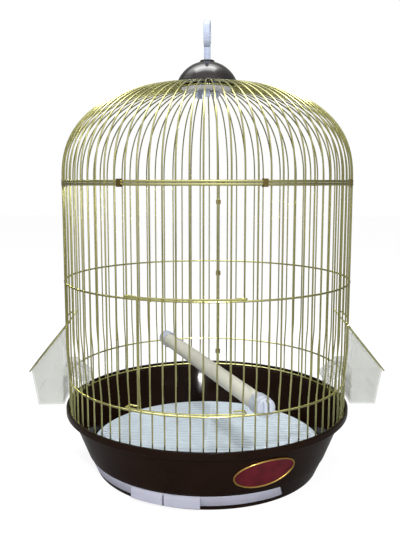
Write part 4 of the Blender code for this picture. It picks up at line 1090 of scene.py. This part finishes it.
def drawer_box():
    """The drawer's walls, outside then inside, by how far each loop is drawn in."""
    half_width = SLOT_HALF_WIDTH - 1.2 * MM
    back = TRAY_FOOT_RADIUS - 4 * MM
    floor = DRAWER_LOW + 1.8 * MM
    lip = 0.4 * MM
    rows = (
        (0.5, DRAWER_LOW), (0, DRAWER_LOW + lip), (0, DRAWER_HIGH - lip), (0.4, DRAWER_HIGH),
        (1.4, DRAWER_HIGH), (1.8, DRAWER_HIGH - lip), (1.8, floor + 0.8 * MM), (2.6, floor),
    )
    shape = Shape()
    loops = []
    for inset, height in rows:
        inset *= MM
        front = tray_radius(height) - inset
        outline = drawer_outline(half_width - inset, front, back - inset, height)
        loops.append(shape.loop(outline))
    shape.close(loops)
    return shape


def drawer_tabs():
    """Two finger tabs side by side, which follow the tray's round front."""
    front = tray_radius(DRAWER_LOW)
    root = front - 0.8 * MM
    step = front + 1.3 * MM
    tip = front + 6.2 * MM
    top = DRAWER_HIGH - CLEARANCE
    high, low = DRAWER_LOW + CLEARANCE, DRAWER_LOW - CLEARANCE
    corners = [(root, high), (step, high), (step, low), (tip, low), (tip, DRAWER_LOW + 8.7 * MM),
               (tray_radius(DRAWER_HIGH) - 0.8 * MM, top), (root, top)]
    easings = [easing * MM for easing in (0, 0.1, 0.1, 0.6, 0.5, 0, 0)]
    section = eased(corners, easings, 3, closed=True)
    inner_degrees, outer_degrees = 0.4, 15.8
    shape = Shape()
    for first, last in ((inner_degrees, outer_degrees), (-outer_degrees, -inner_degrees)):
        loops = []
        for degrees in spread(first, last, 12):
            azimuth = math.radians(degrees)
            points = [polar_point(radius, azimuth, height) for radius, height in section]
            loops.append(shape.loop(points))
        shape.close(loops)
    return shape


def build_drawer():
    drawer = make("drawer", drawer_box(), drawer_white)
    join(drawer, drawer_tabs())
    drawer.data.transform(Matrix.Rotation(DRAWER_AZIMUTH, 4, "Z"))
    soften(drawer, 0.35 * MM, 2, MOULDED_ANGLE)
    seat(drawer, "drawer", "drawer_plastic", "droppings_drawer")


def build_grille():
    """Rounded slats along X in a hoop, parted by a rib down the middle."""
    radius = tray_radius(SHELF_HEIGHT) - 3.7 * MM
    low = SHELF_HEIGHT + CLEARANCE
    thick = 2.8 * MM
    middle = low + thick / 2
    spacing = 8 * MM
    rib_sink = 0.25 * MM
    hoop_inner = radius - 4 * MM
    slat_end = radius - 2 * MM
    shape = Shape()
    hoop = rectangle((hoop_inner, low), (radius, low + thick))
    shape.turned(eased(hoop, 0.7 * MM, 3, closed=True), HOOP_STEPS)
    slat = strap_section(2.7 * MM, thick / 2 - 0.02 * MM, 1.1 * MM)
    rows = int(hoop_inner / spacing)
    for row in range(-rows, rows + 1):
        at = row * spacing + spacing / 2
        reach = math.sqrt(max(slat_end ** 2 - at ** 2, 0))
        if reach < spacing:
            continue
        ends = [Vector((-reach, at, middle)), Vector((reach, at, middle))]
        shape.sweep(ends, slat, BACKWARD)
    rib = [Vector((0, at, middle - rib_sink)) for at in (-slat_end, slat_end)]
    shape.sweep(rib, strap_section(1.5 * MM, thick / 2 - rib_sink, 0.8 * MM), ACROSS)
    seat(make("grille", shape, grille_white), "grille", "grille_plastic", "floor_grille")


# Badge

BADGE_HEIGHT = 43.6 * MM
BADGE_AZIMUTH = math.radians(26.5)
BADGE_TILT = 0.06
BADGE_HALF_WIDTH = 34.8 * MM
BADGE_HALF_RISE = 17.1 * MM
BADGE_BACK = 0.3 * MM
BADGE_FACE = 1.15 * MM


def badge_loop(wide, high, lift):
    """An oval round the badge's middle, lifted off the tray's wall."""
    points = []
    for turn in full_turn(96):
        side, rise = wide * math.cos(turn), high * math.sin(turn)
        height = BADGE_HEIGHT + rise + BADGE_TILT * side
        azimuth = BADGE_AZIMUTH + side / tray_radius(BADGE_HEIGHT)
        points.append(polar_point(tray_radius(height) + lift, azimuth, height))
    return points


def build_badge():
    """A bare oval plate with a raised rim, bent round the tray's wall."""
    rows = [(share, BADGE_BACK) for share in (0.15, 0.4, 0.7, 1)]
    rows += [(1, 0.95 * MM), (0.985, BADGE_FACE)]
    rows += [(share, BADGE_FACE) for share in (0.85, 0.65, 0.4, 0.15)]
    plate = Shape()
    loops = []
    for share, lift in rows:
        oval = badge_loop(BADGE_HALF_WIDTH * share, BADGE_HALF_RISE * share, lift)
        loops.append(plate.loop(oval))
    plate.close(loops)
    seat(make("badge_plate", plate, badge_red), "base", "badge_enamel", "oval_badge")
    rim_inset = 0.9 * MM
    path = badge_loop(BADGE_HALF_WIDTH - rim_inset, BADGE_HALF_RISE - rim_inset, BADGE_FACE)
    rim = Shape()
    rim.wire(path, 0.85 * MM, sides=10, closed=True)
    seat(make("badge_rim", rim, badge_gold), "base", "badge_enamel")


build_wall()
build_dome()
finish_clips()
build_door()
build_feeders()
build_flaps()
build_perch_rod()
build_perch_clips()
build_cap()
build_cup()
build_hook()
build_tray()
build_drawer()
build_grille()
build_badge()


# Floor, light and camera

WHITE = (1, 1, 1)


def build_floor():
    """A white floor that metal and glossy plastic mirror as a dim one."""
    reach = 6.0
    level = -0.2 * MM
    paper_white, mirrored_grey = (0.9, 0.9, 0.9), (0.26, 0.26, 0.26)
    glow_strength = 1.16
    glow_share = 0.75
    mesh = bpy.data.meshes.new("floor")
    corners = [(x, y, level) for x, y in rectangle((-reach, -reach), (reach, reach))]
    mesh.from_pydata(corners, [], [(0, 1, 2, 3)])
    floor = place_in_scene("floor", mesh)
    paper = Finish("floor_white", paper_white, 0.8, Specular_IOR_Level=0.1)
    mirrored = paper.node("LightPath", output="Is Glossy Ray")
    paper.set(Base_Color=paper.mix(mirrored, paper_white, mirrored_grey))
    seen = paper.node("LightPath", output="Is Camera Ray")
    glow = paper.node("Emission", None, {"Color": WHITE, "Strength": glow_strength})
    plain = Value(paper, paper.shader.outputs[0])
    surface = paper.node("MixShader", None, {0: seen * glow_share, 1: plain, 2: glow})
    paper.put(paper.tree.nodes["Material Output"].inputs["Surface"], surface)
    mesh.materials.append(paper.material)


class Sky(Finish):
    """The studio around the cage."""

    def __init__(self):
        self.material = bpy.data.worlds.new("studio")
        self.material.use_nodes = True
        self.tree = self.material.node_tree
        self.shader = self.tree.nodes["Background"]


def build_sky():
    """A studio that is white to look at, also through clear plastic.

    Gloss mirrors a room that is lit in front and overhead, dim at the sides,
    with a bright strip above. All else is lit softly, from low in front.
    """
    sky = Sky()
    bpy.context.scene.world = sky.material
    way = sky.node("TexCoord", output="Generated")
    x, y, z = (sky.node("SeparateXYZ", None, {0: way}, axis) for axis in "XYZ")
    front = sky.range(y, 0.3, -0.7)
    above = sky.range(z, 0.2, 0.85)
    side = sky.range(x * x, 0.12, 0.6)
    lean = y + z * -0.34
    strip = sky.range(lean, -0.35, -0.15) * sky.range(lean, 0.35, 0.15)
    strip = strip * sky.range(x, 0.5, 0.15) * sky.range(x, -0.8, -0.4) * sky.range(z, 0.4, 0.7)
    room = (front * 0.6 + above * 0.3 + 0.17) * (1 - side * 0.55) + strip * 4
    soft = front * sky.range(z, 0.6, 0.1) * 1.05 + 0.42
    seen = sky.node("LightPath", output="Is Camera Ray")
    seen_through = sky.node("LightPath", output="Is Transmission Ray")
    mirrored = sky.node("LightPath", output="Is Glossy Ray")
    plain = sky.node("Math", {"operation": "MAXIMUM"}, {0: seen, 1: seen_through})
    light = mirrored * room + (1 - mirrored) * soft
    sky.set(Color=WHITE, Strength=plain + (1 - plain) * light)


def add_lamp(name, location, target, size, watts, mirrored=True):
    """A rectangular lamp aimed at a point; mirrored says whether gloss shows it."""
    data = bpy.data.lights.new(name, "AREA")
    data.shape = "RECTANGLE"
    data.size, data.size_y = size
    data.energy = watts
    data.color = WHITE
    lamp = place_in_scene(name, data)
    lamp.location = location
    aim = Vector(target) - Vector(location)
    lamp.rotation_euler = aim.to_track_quat("-Z", "Y").to_euler()
    lamp.visible_glossy = mirrored


def build_camera():
    """Solved from the ellipses of the rim, the rings and the cap; metres and degrees."""
    distance, height = 0.774, 0.3358
    azimuth, pan, dip = 3.37, 0.61, 7.27
    data = bpy.data.cameras.new("camera")
    data.lens = 44.24
    data.sensor_width = 36
    camera = place_in_scene("camera", data)
    camera.location = polar_point(distance, math.radians(azimuth), height)
    camera.rotation_euler = (math.radians(90 - dip), 0, math.radians(azimuth + pan))
    bpy.context.scene.camera = camera


build_floor()
build_sky()
add_lamp("overhead", (-0.1, 0.1, 1.6), (-0.1, 0, 0.2), (1.0, 0.5), 14)
add_lamp("left_fill", (-1.2, -1.2, 0.4), (0, 0, 0.2), (1.2, 1.2), 7, mirrored=False)
add_lamp("near_camera", (0.24, -1.3, 0.9), (0, 0, 0.1), (0.06, 0.06), 12)
build_camera()
bpy.context.scene.view_settings.view_transform = "Standard"
